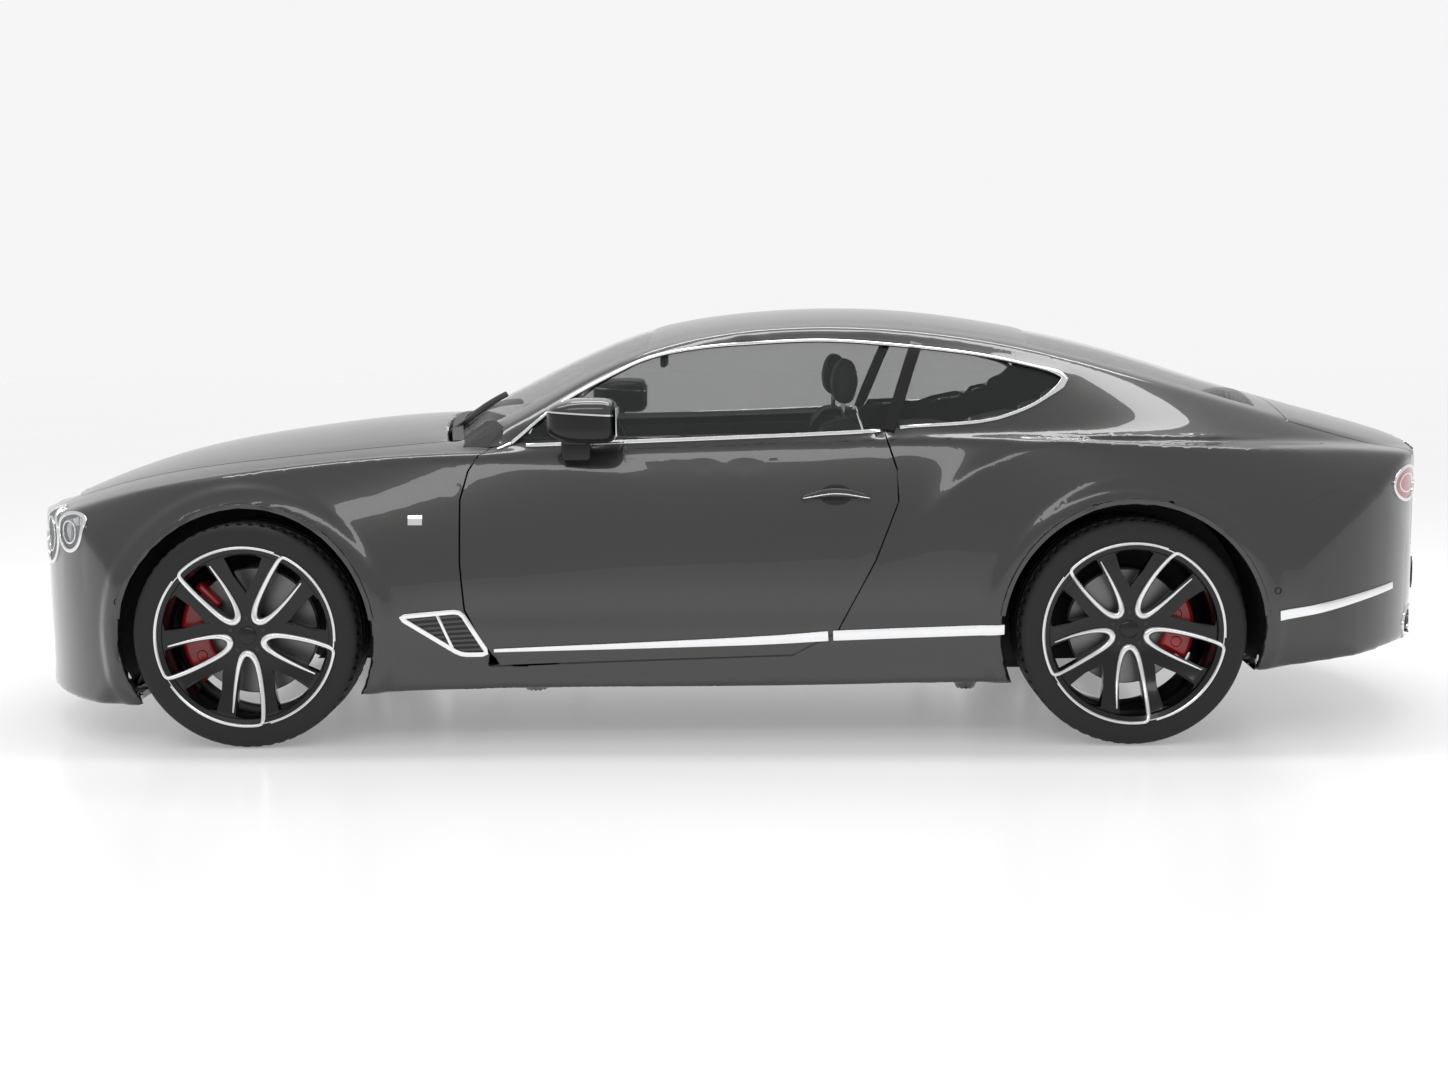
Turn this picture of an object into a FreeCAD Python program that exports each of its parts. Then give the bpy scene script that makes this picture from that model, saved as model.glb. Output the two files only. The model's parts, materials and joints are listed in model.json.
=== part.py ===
"""Two-door grand touring coupe: a hollow body with opening doors, bonnet and boot lid, steered wheels and a cabin.

Frame: millimetres, +X towards the tail, +Y to the car's right, +Z up. The origin is on the ground, under the middle of
the overall length. Left and right pieces are made by loops over SIDES, where -1 is the car's left.
"""
import FreeCAD
import Part
import math
import os
from FreeCAD import Vector

# ---------------------------------------------------------------- driving dimensions
LENGTH = 4850.0
WIDTH = 1966.0
WHEELBASE = 2851.0
FRONT_OVERHANG = 880.0
SIDES = (-1, 1)
FAR = 3000.0                 # reach of a cutting prism, past every panel

# Every place below is drawn on the standard car. along() and across() carry it to the length and width above: the
# wheel arches, doors and sills keep their thickness, and the stretches between them change.
ARCH_ZONE = 440.0            # half the length round each axle that keeps its shape
MIDDLE_Y = 450.0             # half the width that changes


def stations(length, wheelbase, overhang):
    nose = -length / 2
    front = nose + overhang
    rear = front + wheelbase
    return [nose - FAR, nose, front - ARCH_ZONE, front + ARCH_ZONE, rear - ARCH_ZONE, rear + ARCH_ZONE,
            -nose, -nose + FAR]


DRAWN_WIDTH = 1966.0
DRAWN = stations(4850.0, 2851.0, 880.0)
BUILT = stations(LENGTH, WHEELBASE, FRONT_OVERHANG)
NOSE_X = DRAWN[1]
TAIL_X = DRAWN[6]
FRONT_AXLE_X = DRAWN[2] + ARCH_ZONE
REAR_AXLE_X = DRAWN[4] + ARCH_ZONE


def along(x):
    """Where a station of the standard car lies on this one."""
    k = max(n for n in range(len(DRAWN) - 1) if n == 0 or x >= DRAWN[n])
    share = (BUILT[k + 1] - BUILT[k]) / (DRAWN[k + 1] - DRAWN[k])
    return round(BUILT[k] + (x - DRAWN[k]) * share, 6)


def across(y):
    """Where a distance from the middle of the standard car lies on this one."""
    share = min(abs(y) / MIDDLE_Y, 1.0)
    return round(y + math.copysign(share * (WIDTH - DRAWN_WIDTH) / 2, y), 6)


def at(x, y, z):
    return Vector(along(x), across(y), z)


SKIN = 28.0                  # wings, bumpers, bonnet and boot lid
SIDE_WALL = 110.0            # doors and body sides
ROOF_WALL = 45.0             # roof, pillars and belt
FLOOR_WALL = 100.0           # sill height inside the outer skin
SHUT_GAP = 6.0               # round everything that opens
SEAM = 0.5                   # between fixed panels
RUNNING = 0.08               # shaft in its sleeve

TYRE_R = 366.0
BEAD_R = 279.0
POCKET_AT = 0.652 * BEAD_R   # the ten openings between the spokes, in five pairs
POCKET_R = 0.165 * BEAD_R
AXLES = {                    # dish is how far the spokes' face stands inside the tyre's outer side
    "front": dict(x=FRONT_AXLE_X, tyre_w=275.0, track=1650.0, arch_r=TYRE_R + 46, liner_r=TYRE_R + 74,
                  disc_r=BEAD_R - 71, dish=18.0),
    "rear": dict(x=REAR_AXLE_X, tyre_w=305.0, track=1640.0, arch_r=TYRE_R + 52, liner_r=TYRE_R + 62,
                 disc_r=BEAD_R - 89, dish=55.0),
}
AXLE_Z = TYRE_R
KINGPIN_OFFSET = 70.0        # from the tyre's middle to the steering axis
KINGPIN_R = 10.0
SPINDLE_R = 28.0

HINGE_AFT = 100.0            # door hinge axis behind the door's front edge
HINGE_Y = 932.0
HINGE_HEIGHTS = (455.0, 606.0)
HINGE_PIN_R = 6.0
EYE_HALF = 22.0              # half the height of the door's hinge eye, and of the fork that holds it
FORK_HALF = 32.0
DOOR_SWING = 65.0            # how far a door opens, in degrees
FORK_NOSE = 6.4              # the fork's outer end stays this near the pin, inside the swinging door skin
TIP_R = 19.0                 # clear round the hinge axis at the wing's lower tip, for the door's edge
TIP_TOP = 335.0
SWEEP_GAP = 8.0              # from a steered front tyre to the skins under it
DOOR_SKIN = 8.0
GLASS = 5.0
GLASS_SETBACK = 12.0
SCREEN_SETBACK = 4.0
JACK_X = (-620.0, 780.0)     # jacking pads under the sills
JACK_Y = 845.0
JACK_Z = 172.0
FLOOR_TOP = 250.0            # cabin floor, and the boot floor over the rear axle
BOOT_FLOOR = (575.0, 600.0)
TUNNEL_TOP = 380.0
ON_TOP = 0.4                 # what stands on a floor starts this far above it
FLOOR_HALF = 760.0           # the floor pan reaches this far out at the cabin, and REAR_HALF between the rear wheels
REAR_HALF = 631.0
STEP_X = (861.0, 999.0)      # the floor steps up to the boot between these
RAIL_Y = (370.0, 440.0)      # front rails
RAIL_Z = (300.0, 400.0)
PIPE_Y = 560.0               # tail pipes: middle, half width, half height and wall
PIPE_Z = 340.0
PIPE_OVAL = (92.0, 46.0)
PIPE_WALL = 8.0
PIPE_END_X = TAIL_X - 118
PLATE_X = TAIL_X - 7         # face of the rear number plate's pad, its height and its two screw holes
PLATE_Z = 465.0
PLATE_HOLES = 300.0
PLATE_HOLE_R = 2.5

# ---------------------------------------------------------------- body sections
# Lower body at each station: floor z, sill y, widest z, widest y, shoulder z, shoulder y, centre top z
LOWER = [
    # x      floor  sill_y  wide_z  wide_y  should_z  should_y  top_z
    (-2450, 130, 840, 420, 880, 650, 690, 712),
    (-2300, 130, 850, 440, 900, 705, 720, 780),
    (-2000, 130, 880, 500, 945, 805, 780, 893),
    (-1545, 150, 920, 590, 975, 888, 835, 984),
    (-1100, 175, 925, 600, 968, 932, 850, 1032),
    (-846, 183, 922, 600, 957, 946, 862, 1040),
    (-300, 187, 915, 600, 950, 962, 882, 1030),
    (500, 194, 915, 610, 955, 988, 888, 1030),
    (1306, 205, 925, 640, 983, 965, 880, 1020),
    (1850, 250, 900, 650, 960, 945, 800, 1000),
    (2200, 290, 850, 600, 900, 925, 690, 960),
    (2450, 290, 800, 560, 850, 895, 600, 920),
]
# Glasshouse at each station: base z, base y, roof rail z, roof rail y, centre top z
GLASSHOUSE = [
    # x      base_z  base_y  rail_z  rail_y  top_z
    (-1130, 850, 560, 890, 500, 915),
    (-903, 870, 720, 975, 660, 1041),
    (-700, 890, 862, 1035, 778, 1152),
    (-470, 920, 888, 1165, 715, 1262),
    (-250, 930, 896, 1262, 668, 1340),
    (0, 930, 900, 1320, 642, 1384),
    (400, 930, 904, 1340, 628, 1405),
    (850, 930, 900, 1295, 622, 1367),
    (1250, 930, 870, 1205, 610, 1287),
    (1650, 920, 790, 1092, 575, 1166),
    (2050, 900, 690, 985, 530, 1045),
    (2440, 870, 590, 890, 470, 920),
]
SIDE_BOW = 14.0              # how far the side glass bows out between base and rail

# Outline of the car from above: x, y of the nose corner, then of the tail corner
NOSE_PLAN = [(NOSE_X, 0), (NOSE_X + 80, 430), (NOSE_X + 235, 730), (NOSE_X + 480, 950)]
TAIL_PLAN = [(TAIL_X, 0), (TAIL_X - 80, 450), (TAIL_X - 225, 745), (TAIL_X - 525, 955)]
# Profile from the side: x, z from under the nose up to the bonnet, and from the tail's lip down
NOSE_SIDE = [(NOSE_X + 95, 110), (NOSE_X + 25, 150), (NOSE_X + 13, 230), (NOSE_X + 20, 330), (NOSE_X, 450),
             (NOSE_X + 20, 680), (NOSE_X + 55, 735), (NOSE_X + 95, 768)]
TAIL_SIDE = [(TAIL_X - 60, 945), (TAIL_X - 95, 890), (TAIL_X - 75, 780), (TAIL_X, 620), (TAIL_X - 10, 470),
             (TAIL_X - 2, 380), (TAIL_X - 30, 310), (TAIL_X - 75, 280)]

# ---------------------------------------------------------------- shut lines, seen from the side (x, z)
DOOR_FRONT_X = -846.0
HINGE_X = DOOR_FRONT_X + HINGE_AFT
DOOR_OUTLINE = [
    (-740, 961), (-790, 938), (-822, 888), (DOOR_FRONT_X, 800), (DOOR_FRONT_X, 600), (-833, 450),
    (-786, 356), (-727, 268), (215, 298), (357, 372), (480, 605), (553, 790), (549, 890), (512, 1004),
]
BELT_FRONT = (HINGE_X + 30, 965.2)               # the top of the door's box, under the glass
BELT_REAR = (478, 1007.2)
GLASS_SEAT = 0.4
DOOR_BOX = [BELT_FRONT, (HINGE_X + 30, 330), (HINGE_X + 56, 303), (190, 333), (325, 397), (446, 616), (515, 795),
            (512, 890), BELT_REAR]
B_LINE = [(520.0, 1000.0), (634.0, 1300.0)]      # rear edge of the door glass
B_GAP = 12.0
WING_SILL_Z = 262.0          # the wing's rear corner stands on the sill at this height
WING_END_X = -722.0
WING_TAIL = [(-852, WING_SILL_Z), (WING_END_X, WING_SILL_Z), (WING_END_X, 800), (-760, 930), (-744, 968),
             (-700, 1003), (-765, 1040)]
BUMPER_SPLIT_Z = 410.0
REAR_SPLIT = [(1560, 682), (2039, 838), (2150, 795), (2330, 600), (2600, 600)]

# ---------------------------------------------------------------- shut lines, seen from above (x, y)
BONNET_FRONT = [(-2322, 0), (-2290, 300), (-2180, 520)]
BONNET_REAR = [(-905, 690), (-965, 0)]
BONNET_SIDE = (-1545, 690)
SCREEN_TOP = [(-262, 590), (-250, 0)]
SCREEN_BASE = [(-862, 672), (-925, 0)]
REAR_GLASS_TOP = [(1010, 548), (1045, 0)]
LID_FRONT_X = 1885.0
REAR_GLASS_BASE_Y = 500.0
LID_HALF_W = 560.0
LID_BOTTOM_Z = 606.0
ROOF_Y = 560.0



def arc(a, b, c):
    return Part.Arc(a, b, c).toShape()


def line(a, b):
    return Part.makeLine(a, b)


def box(x0, x1, y0, y1, z0, z1):
    low, high = at(x0, y0, z0), at(x1, y1, z1)
    return Part.makeBox(high.x - low.x, high.y - low.y, high.z - low.z, low)


def side_box(side, x0, x1, y0, y1, z0, z1):
    """A box on one side of the car, with y measured outwards."""
    low, high = sorted((side * y0, side * y1))
    return box(x0, x1, low, high, z0, z1)


def tube_y(x, z, y0, y1, r, bore=0.0):
    """A round bar or ring along Y."""
    low, high = sorted((across(y0), across(y1)))
    end, axis = Vector(along(x), low, z), Vector(0, 1, 0)
    bar = Part.makeCylinder(r, high - low, end, axis)
    return bar.cut(Part.makeCylinder(bore, high - low, end, axis)) if bore else bar


def polygon_prism(points, grow=0.0, y0=-FAR, y1=FAR):
    """A side-view outline drawn across the car from y0 to y1."""
    wire = Part.makePolygon([at(x, y0, z) for x, z in points + points[:1]])
    face = Part.Face(wire)
    if grow:
        face = face.makeOffset2D(grow, 2)
    return face.extrude(Vector(0, across(y1) - across(y0), 0))


def edges_prism(edges, direction, grow=0.0):
    face = Part.Face(Part.Wire(edges))
    if grow:
        face = face.makeOffset2D(grow, 2)
    return face.extrude(direction)


def loft(rows, section):
    return Part.makeLoft([section(row) for row in rows], True, False)


def closed_section(x, low, mid, high, top_z):
    """A cross section: flat bottom, an arc up each side and one over the top. low, mid and high are (y, z)."""
    right = [at(x, y, z) for y, z in (low, mid, high)]
    left = [at(x, -y, z) for y, z in (low, mid, high)]
    return Part.Wire([line(left[0], right[0]), arc(*right), arc(right[2], at(x, 0, top_z), left[2]),
                      arc(left[2], left[1], left[0])])


def lower_body(side_in=0.0, top_in=0.0, floor_in=0.0):
    """The body below the belt, moved in from the outer surface by these amounts."""
    def section(row):
        x, floor_z, sill_y, wide_z, wide_y, high_z, high_y, top_z = row
        return closed_section(x, (sill_y - side_in, floor_z + floor_in), (wide_y - side_in, wide_z),
                              (high_y - side_in, high_z - top_in), top_z - top_in)
    return loft(LOWER, section)


def glasshouse(wall=0.0, base_drop=0.0):
    """The cabin above the belt, moved in from the outer surface by wall."""
    def section(row):
        x, base_z, base_y, rail_z, rail_y, top_z = row
        mid = ((base_y + rail_y) / 2 + SIDE_BOW - wall, (base_z + rail_z) / 2)
        rail = (rail_y - 0.8 * wall, rail_z - 0.6 * wall)
        return closed_section(x, (base_y - wall, base_z - base_drop), mid, rail, top_z - wall)
    return loft(GLASSHOUSE, section)


def plan_prism(inset=0.0):
    """The outline from above, with round nose and tail corners."""
    def corner(points, sign):
        last = len(points) - 1
        return [at(x - sign * inset, y - (inset if k == last else 0), 0) for k, (x, y) in enumerate(points)]

    def flip(p):
        return Vector(p.x, -p.y, 0)
    nose, tail, half = corner(NOSE_PLAN, -1), corner(TAIL_PLAN, 1), DRAWN_WIDTH / 2 - inset
    front_flank, rear_flank = at(NOSE_X + 620, half, 0), at(TAIL_X - 620, half, 0)
    edges = [arc(flip(nose[1]), nose[0], nose[1]), arc(nose[1], nose[2], nose[3]), line(nose[3], front_flank),
             line(front_flank, rear_flank), line(rear_flank, tail[3]), arc(tail[3], tail[2], tail[1]),
             arc(tail[1], tail[0], flip(tail[1])), arc(flip(tail[1]), flip(tail[2]), flip(tail[3])),
             line(flip(tail[3]), flip(rear_flank)), line(flip(rear_flank), flip(front_flank)),
             line(flip(front_flank), flip(nose[3])), arc(flip(nose[3]), flip(nose[2]), flip(nose[1]))]
    return edges_prism(edges, Vector(0, 0, FAR))


def profile_prism(inset=0.0):
    """The profile from the side: only the nose and the tail trim the body."""
    nose = [(x + inset, z) for x, z in NOSE_SIDE]
    tail = [(x - inset, z) for x, z in TAIL_SIDE]
    top, bottom = 1600.0, 60.0
    return polygon_prism([(nose[0][0], bottom)] + nose + [(nose[-1][0], top), (tail[0][0], top)] + tail
                         + [(tail[-1][0], bottom)])


def trimmed(shape, inset=0.0):
    return shape.common(plan_prism(inset)).common(profile_prism(inset))


def lamp_prism(x0, x1, y, z, r_y, r_z, grow=0.0):
    """An oval bar along X."""
    major, minor = max(r_y, r_z) + grow, min(r_y, r_z) + grow
    centre = at(x0, y, z)
    oval = Part.Ellipse(centre, major, minor)
    spin = FreeCAD.Rotation(Vector(0, 1, 0), 90)
    if r_y >= r_z:
        spin = FreeCAD.Rotation(Vector(1, 0, 0), 90).multiply(spin)
    edge = oval.toShape()
    edge.Placement = FreeCAD.Placement(Vector(0, 0, 0), spin, centre).multiply(edge.Placement)
    return Part.Face(Part.Wire(edge)).extrude(Vector(along(x1) - along(x0), 0, 0))


def fused(shapes):
    whole = shapes[0]
    for shape in shapes[1:]:
        whole = whole.fuse(shape)
    return whole


def largest(shape):
    return sorted(shape.Solids, key=lambda solid: -solid.Volume)[0]


def mirrored(shape):
    return shape.mirror(Vector(0, 0, 0), Vector(0, 1, 0))


def store_pair(name, right):
    """The right-hand piece and its mirror, each in its own node."""
    PARTS[name + "_left"] = mirrored(right)
    PARTS[name + "_right"] = right


def store_both(name, *right):
    """Like pieces of both sides, as separate solids in one node."""
    solids = [solid for shape in right for solid in shape.Solids]
    PARTS[name] = Part.makeCompound([mirrored(solid) for solid in solids] + solids)


def between(side, y0, y1, x0=-FAR, x1=FAR, z0=-100.0, z1=1700.0):
    """A block of space on one side of the car, for keeping or cutting."""
    return side_box(side, x0, x1, y0, y1, z0, z1)


# ---------------------------------------------------------------- outer surface and the space inside it
PARTS = {}
outer_low = trimmed(lower_body())
outer_top = trimmed(glasshouse())
outer = outer_low.fuse(outer_top)
skin_space = trimmed(lower_body(SKIN, SKIN, SKIN), SKIN)
cabin_low = lower_body(SIDE_WALL, ROOF_WALL, FLOOR_WALL)
cabin_top = glasshouse(ROOF_WALL, 80.0)
WALL_ENDS = (-853.0, 735.0)          # the side walls are thick between these, and one skin thick beyond
inner = fused([cabin_low.common(box(WALL_ENDS[0], WALL_ENDS[1], -FAR, FAR, 0, FAR)),
               cabin_top,
               skin_space.common(box(-FAR, WALL_ENDS[0], -FAR, FAR, 0, FAR)),
               skin_space.common(box(WALL_ENDS[1], FAR, -FAR, FAR, 0, FAR))])
shell = outer.cut(inner)

# ---------------------------------------------------------------- cutters
arch_cut = fused([tube_y(axle["x"], AXLE_Z, side * 600, side * FAR, axle["arch_r"])
                  for axle in AXLES.values() for side in SIDES])


def steering_sweep():
    """What the steered front tyres reach low down, where the skins turn under the body: two steps of height."""
    axle = AXLES["front"]
    shoulder = axle["tyre_w"] / 2 + KINGPIN_OFFSET
    steps = []
    for low, high in ((60, 165), (165, 215)):
        half_length = math.sqrt(TYRE_R ** 2 - (AXLE_Z - high) ** 2)
        reach = math.hypot(half_length, shoulder) + SWEEP_GAP
        for side in SIDES:
            foot = at(axle["x"], side * (axle["track"] / 2 - KINGPIN_OFFSET), low)
            steps.append(Part.makeCylinder(reach, high - low, foot))
    return fused(steps)


sweep_cut = steering_sweep()
door_hole = polygon_prism(DOOR_OUTLINE, SHUT_GAP)
door_body = polygon_prism(DOOR_OUTLINE)


def band(points):
    """Side-view space behind a line that runs upwards through these points."""
    return polygon_prism([(-FAR, points[0][1] - 900)] + [(points[0][0], points[0][1] - 900)] + points
                         + [(points[-1][0], 1600), (-FAR, 1600)])


wing_side = band(WING_TAIL)
REAR_BAND = REAR_SPLIT + [(FAR, -50), (REAR_SPLIT[0][0], -50)]
rear_band = polygon_prism(REAR_BAND)
rear_band_grown = polygon_prism(REAR_BAND, SEAM)
front_band = box(-FAR, FRONT_AXLE_X, -FAR, FAR, -50, BUMPER_SPLIT_Z)
front_band_grown = box(-FAR, FRONT_AXLE_X + SEAM, -FAR, FAR, -50, BUMPER_SPLIT_Z + SEAM)


def bonnet_plan(grow=0.0):
    (fx, _), (mx, my), (cx, cy) = BONNET_FRONT
    (rx, ry), (tx, _) = BONNET_REAR
    sx, sy = BONNET_SIDE
    edges = [arc(at(cx, -cy, 0), at(fx, 0, 0), at(cx, cy, 0)),
             arc(at(cx, cy, 0), at(sx, sy, 0), at(rx, ry, 0)),
             arc(at(rx, ry, 0), at(tx, 0, 0), at(rx, -ry, 0)),
             arc(at(rx, -ry, 0), at(sx, -sy, 0), at(cx, -cy, 0))]
    return edges_prism(edges, Vector(0, 0, FAR), grow)


def polygon_plan(points, grow=0.0):
    """A patch seen from above, given by the points (x, y) of its right-hand half."""
    outline = points + [(x, -y) for x, y in reversed(points)]
    edges = [line(at(*outline[k - 1], 0), at(*outline[k], 0)) for k in range(len(outline))]
    return edges_prism(edges, Vector(0, 0, FAR), grow)


def three_edge_plan(front, rear, front_y, rear_y, grow=0.0):
    """A patch seen from above: curved front and rear edges given by their x at the side and in the middle."""
    edges = [arc(at(front[0], -front_y, 0), at(front[1], 0, 0), at(front[0], front_y, 0)),
             line(at(front[0], front_y, 0), at(rear[0], rear_y, 0)),
             arc(at(rear[0], rear_y, 0), at(rear[1], 0, 0), at(rear[0], -rear_y, 0)),
             line(at(rear[0], -rear_y, 0), at(front[0], -front_y, 0))]
    return edges_prism(edges, Vector(0, 0, FAR), grow)


screen_edges = ((SCREEN_BASE[0][0], SCREEN_BASE[1][0]), (SCREEN_TOP[0][0], SCREEN_TOP[1][0]),
                SCREEN_BASE[0][1], SCREEN_TOP[0][1])
rear_glass_edges = ((REAR_GLASS_TOP[0][0], REAR_GLASS_TOP[1][0]), (1790, 1815),
                    REAR_GLASS_TOP[0][1], REAR_GLASS_BASE_Y)
screen_plan = three_edge_plan(*screen_edges)
screen_hole = three_edge_plan(*screen_edges, SEAM)
rear_glass_plan = three_edge_plan(*rear_glass_edges)
rear_glass_hole = three_edge_plan(*rear_glass_edges, SEAM)
lid_plan = box(LID_FRONT_X, FAR, -LID_HALF_W, LID_HALF_W, 0, FAR)
lid_hole = box(LID_FRONT_X - SHUT_GAP, FAR, -LID_HALF_W - SHUT_GAP, LID_HALF_W + SHUT_GAP, 0, FAR)

DLO_TOP = [(-690, 975), (-540, 1096), (-375, 1187), (-243, 1245), (-80, 1276), (117, 1291), (335, 1297),
           (573, 1278), (835, 1248), (1030, 1211), (1120, 1184)]
DLO_BOTTOM = [(1095, 1140), (1012, 1090), (916, 1056), (820, 1036), (564, 1020), (512, 1014), (-640, 973)]
DLO = DLO_TOP + DLO_BOTTOM
belt_strip = polygon_prism([(-742, 958), (514, 1001), (545, 1010), (545, 1030), (243, 1012), (-401, 990),
                            (-690, 977), (-730, 972)])
dlo_hole = polygon_prism(DLO)
glass_foot = [(x, z + GLASS_SEAT) for x, z in (BELT_FRONT, BELT_REAR)]
glass_area = polygon_prism(glass_foot + [(498, 1008.4), (B_LINE[0][0] + 14, 1030), B_LINE[1],
                                         (B_LINE[1][0] + 20, 1380), (BELT_FRONT[0], 1380)])
quarter_area = polygon_prism([(B_LINE[0][0] + B_GAP + 20, 1000), (1300, 1000), (1300, 1380),
                              (B_LINE[1][0] + B_GAP + 40, 1380), (B_LINE[1][0] + B_GAP, 1300)])
door_glass_shape = polygon_prism(DLO_TOP[:-1] + [(1030, 900), (-690, 900)], -SHUT_GAP)
quarter_shape = polygon_prism(DLO, -SEAM)

# ---------------------------------------------------------------- fixed body panels
bonnet_hole = bonnet_plan(SHUT_GAP)
top_half = box(-FAR, FAR, -FAR, FAR, 700, 1700)
lid_space = lid_hole.common(box(0, FAR, -FAR, FAR, LID_BOTTOM_Z - SHUT_GAP, 1700))
FLAP_R = along(HINGE_X) - along(DOOR_FRONT_X) + 10      # what the door's edge in front of its hinge sweeps
hinge_cavity = Part.makeCylinder(FLAP_R, 727, at(HINGE_X, HINGE_Y, WING_SILL_Z))
seat_in = trimmed(lower_body(SKIN + 0.7, SKIN + 0.7, SKIN + 0.7), SKIN + 0.7)
under_bonnet = trimmed(lower_body(24 + SEAM, 24 + SEAM, 24 + SEAM), 24 + SEAM)
cabin_low_in = lower_body(SIDE_WALL + 0.8, ROOF_WALL + 0.8, FLOOR_WALL + 0.8)
cabin_in = cabin_low_in.fuse(glasshouse(ROOF_WALL + 0.8, 80.0))

GRILLE_Y = 430.0
GRILLE_Z = (425.0, 748.0)
COWL_HALF = 690.0
# lamps: the face's centre x, y, z, the oval's half width and half height, and how deep the can goes
HEADLAMPS = [(-2190, 590, 665, 97, 94, -2140), (-2110, 765, 688, 62, 60, -2010)]
TAIL_LAMPS = [(2230, 668, 820, 96, 55, 2130)]


def lamp_cans(lamps, grow=0.0):
    cans = []
    for x, y, z, r_y, r_z, back in lamps:
        low, high = (-FAR, back + grow) if x < 0 else (back - grow, FAR)
        cans.append(lamp_prism(low, high, y, z, r_y, r_z, grow))
    return cans


head_cut = fused(lamp_cans(HEADLAMPS, SEAM))
head_cut = head_cut.fuse(mirrored(head_cut))
tail_cut = fused(lamp_cans(TAIL_LAMPS, SEAM))
tail_cut = tail_cut.fuse(mirrored(tail_cut))
grille_space = box(-FAR, NOSE_X + 300, -GRILLE_Y, GRILLE_Y, GRILLE_Z[0], 1200)
grille_space_grown = box(-FAR, NOSE_X + 300, -GRILLE_Y - SEAM, GRILLE_Y + SEAM, BUMPER_SPLIT_Z, 1200)

wing_zone = box(-FAR, WING_END_X, -FAR, FAR, 60, 1100).common(wing_side)
front_skin = outer_low.cut(skin_space)
wing = front_skin.common(wing_zone).common(between(1, GRILLE_Y - 20, FAR))
wing = wing.cut(arch_cut).cut(bonnet_hole.common(top_half)).cut(front_band_grown)
wing = wing.cut(grille_space_grown).cut(head_cut).cut(box(-1950, FAR, -800, 800, 0, 300))
wing = wing.cut(box(-1010, FAR, -COWL_HALF - SEAM, COWL_HALF + SEAM, 700, 1200))
wing = wing.cut(lower_body(DOOR_SKIN, DOOR_SKIN, DOOR_SKIN).common(box(-900, FAR, 800, FAR, 180, 1200)))
tip_foot = at(HINGE_X, HINGE_Y, WING_SILL_Z)
wing = wing.cut(door_hole).cut(sweep_cut).cut(Part.makeCylinder(TIP_R, TIP_TOP - WING_SILL_Z, tip_foot))
store_both("front_wings", largest(wing))

cowl = front_skin.common(box(-1010, WALL_ENDS[0], -COWL_HALF, COWL_HALF, 700, 1200)).cut(bonnet_hole)
cowl = cowl.cut(screen_hole.common(box(-1200, 0, -FAR, FAR, 900, 1700)))

mouth = box(-FAR, NOSE_X + 300, -520, 520, 190, 330)
PARTS["front_bumper"] = front_skin.common(front_band).cut(arch_cut).cut(sweep_cut).cut(mouth).cut(
    box(NOSE_X + 430, FAR, -640, 640, 0, 400))

grille = front_skin.common(grille_space).cut(bonnet_hole.common(top_half)).common(
    box(-FAR, FAR, -FAR, FAR, GRILLE_Z[0] - 14.6, GRILLE_Z[1]))
for k in range(10):
    low = -390 + k * 79
    grille = grille.cut(box(-FAR, FAR, low, low + 69, 455, 715))
lower_grille = front_skin.common(box(-FAR, NOSE_X + 300, -520 + SEAM, 520 - SEAM, 190 + SEAM, 330 - SEAM))
lower_grille = lower_grille.common(trimmed(lower_body(0, 0, 0), 6))
for k in range(3):
    lower_grille = lower_grille.cut(box(-FAR, FAR, -500, 500, 204 + k * 42, 232 + k * 42))
PARTS["grilles"] = Part.makeCompound([largest(grille), largest(lower_grille)])

PARTS["bonnet"] = outer_low.cut(trimmed(lower_body(24, 24, 24), 24)).common(bonnet_plan()).common(
    box(-FAR, FAR, -FAR, FAR, 740, 1200))

roof_half = [(-300, ROOF_Y), (1060, ROOF_Y - 35)]
high = box(-FAR, FAR, -FAR, FAR, 1000, 1700)
roof = shell.common(polygon_plan(roof_half)).common(high)
PARTS["roof"] = largest(roof.cut(screen_hole).cut(rear_glass_hole))
roof_hole = polygon_plan(roof_half, SEAM).common(high)


def thin_top(depth, thickness):
    return trimmed(glasshouse(depth)).cut(glasshouse(depth + thickness, 200))


screen_glass = thin_top(SCREEN_SETBACK, 8)
side_glass = thin_top(GLASS_SETBACK, GLASS).common(between(1, 400, FAR))
PARTS["windscreen"] = screen_glass.common(screen_plan).common(box(-FAR, 0, -FAR, FAR, 960, 1700))
PARTS["rear_window"] = screen_glass.common(rear_glass_plan).common(box(900, FAR, -FAR, FAR, 1000, 1700))

body_side = shell.common(between(1, SEAM / 2, FAR))
body_side = body_side.cut(box(-FAR, WING_END_X, -FAR, FAR, 0, FAR).common(wing_side))
body_side = body_side.cut(arch_cut).cut(screen_hole.common(box(-1200, 0, -FAR, FAR, 900, 1700)))
body_side = body_side.cut(rear_glass_hole.common(box(900, 2000, -FAR, FAR, 900, 1700)))
body_side = body_side.cut(roof_hole).cut(lid_space).cut(rear_band_grown).cut(tail_cut)
body_side = body_side.cut(dlo_hole.fuse(belt_strip)).cut(box(-900, FAR, -FLOOR_HALF, FLOOR_HALF, 0, 300))
body_side = body_side.cut(door_hole.common(between(1, 640, FAR))).cut(hinge_cavity)
body_side = largest(body_side)
for x in JACK_X:
    body_side = body_side.fuse(Part.makeCylinder(35, 40, at(x, JACK_Y, JACK_Z)))
store_pair("body_side", body_side)

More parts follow.
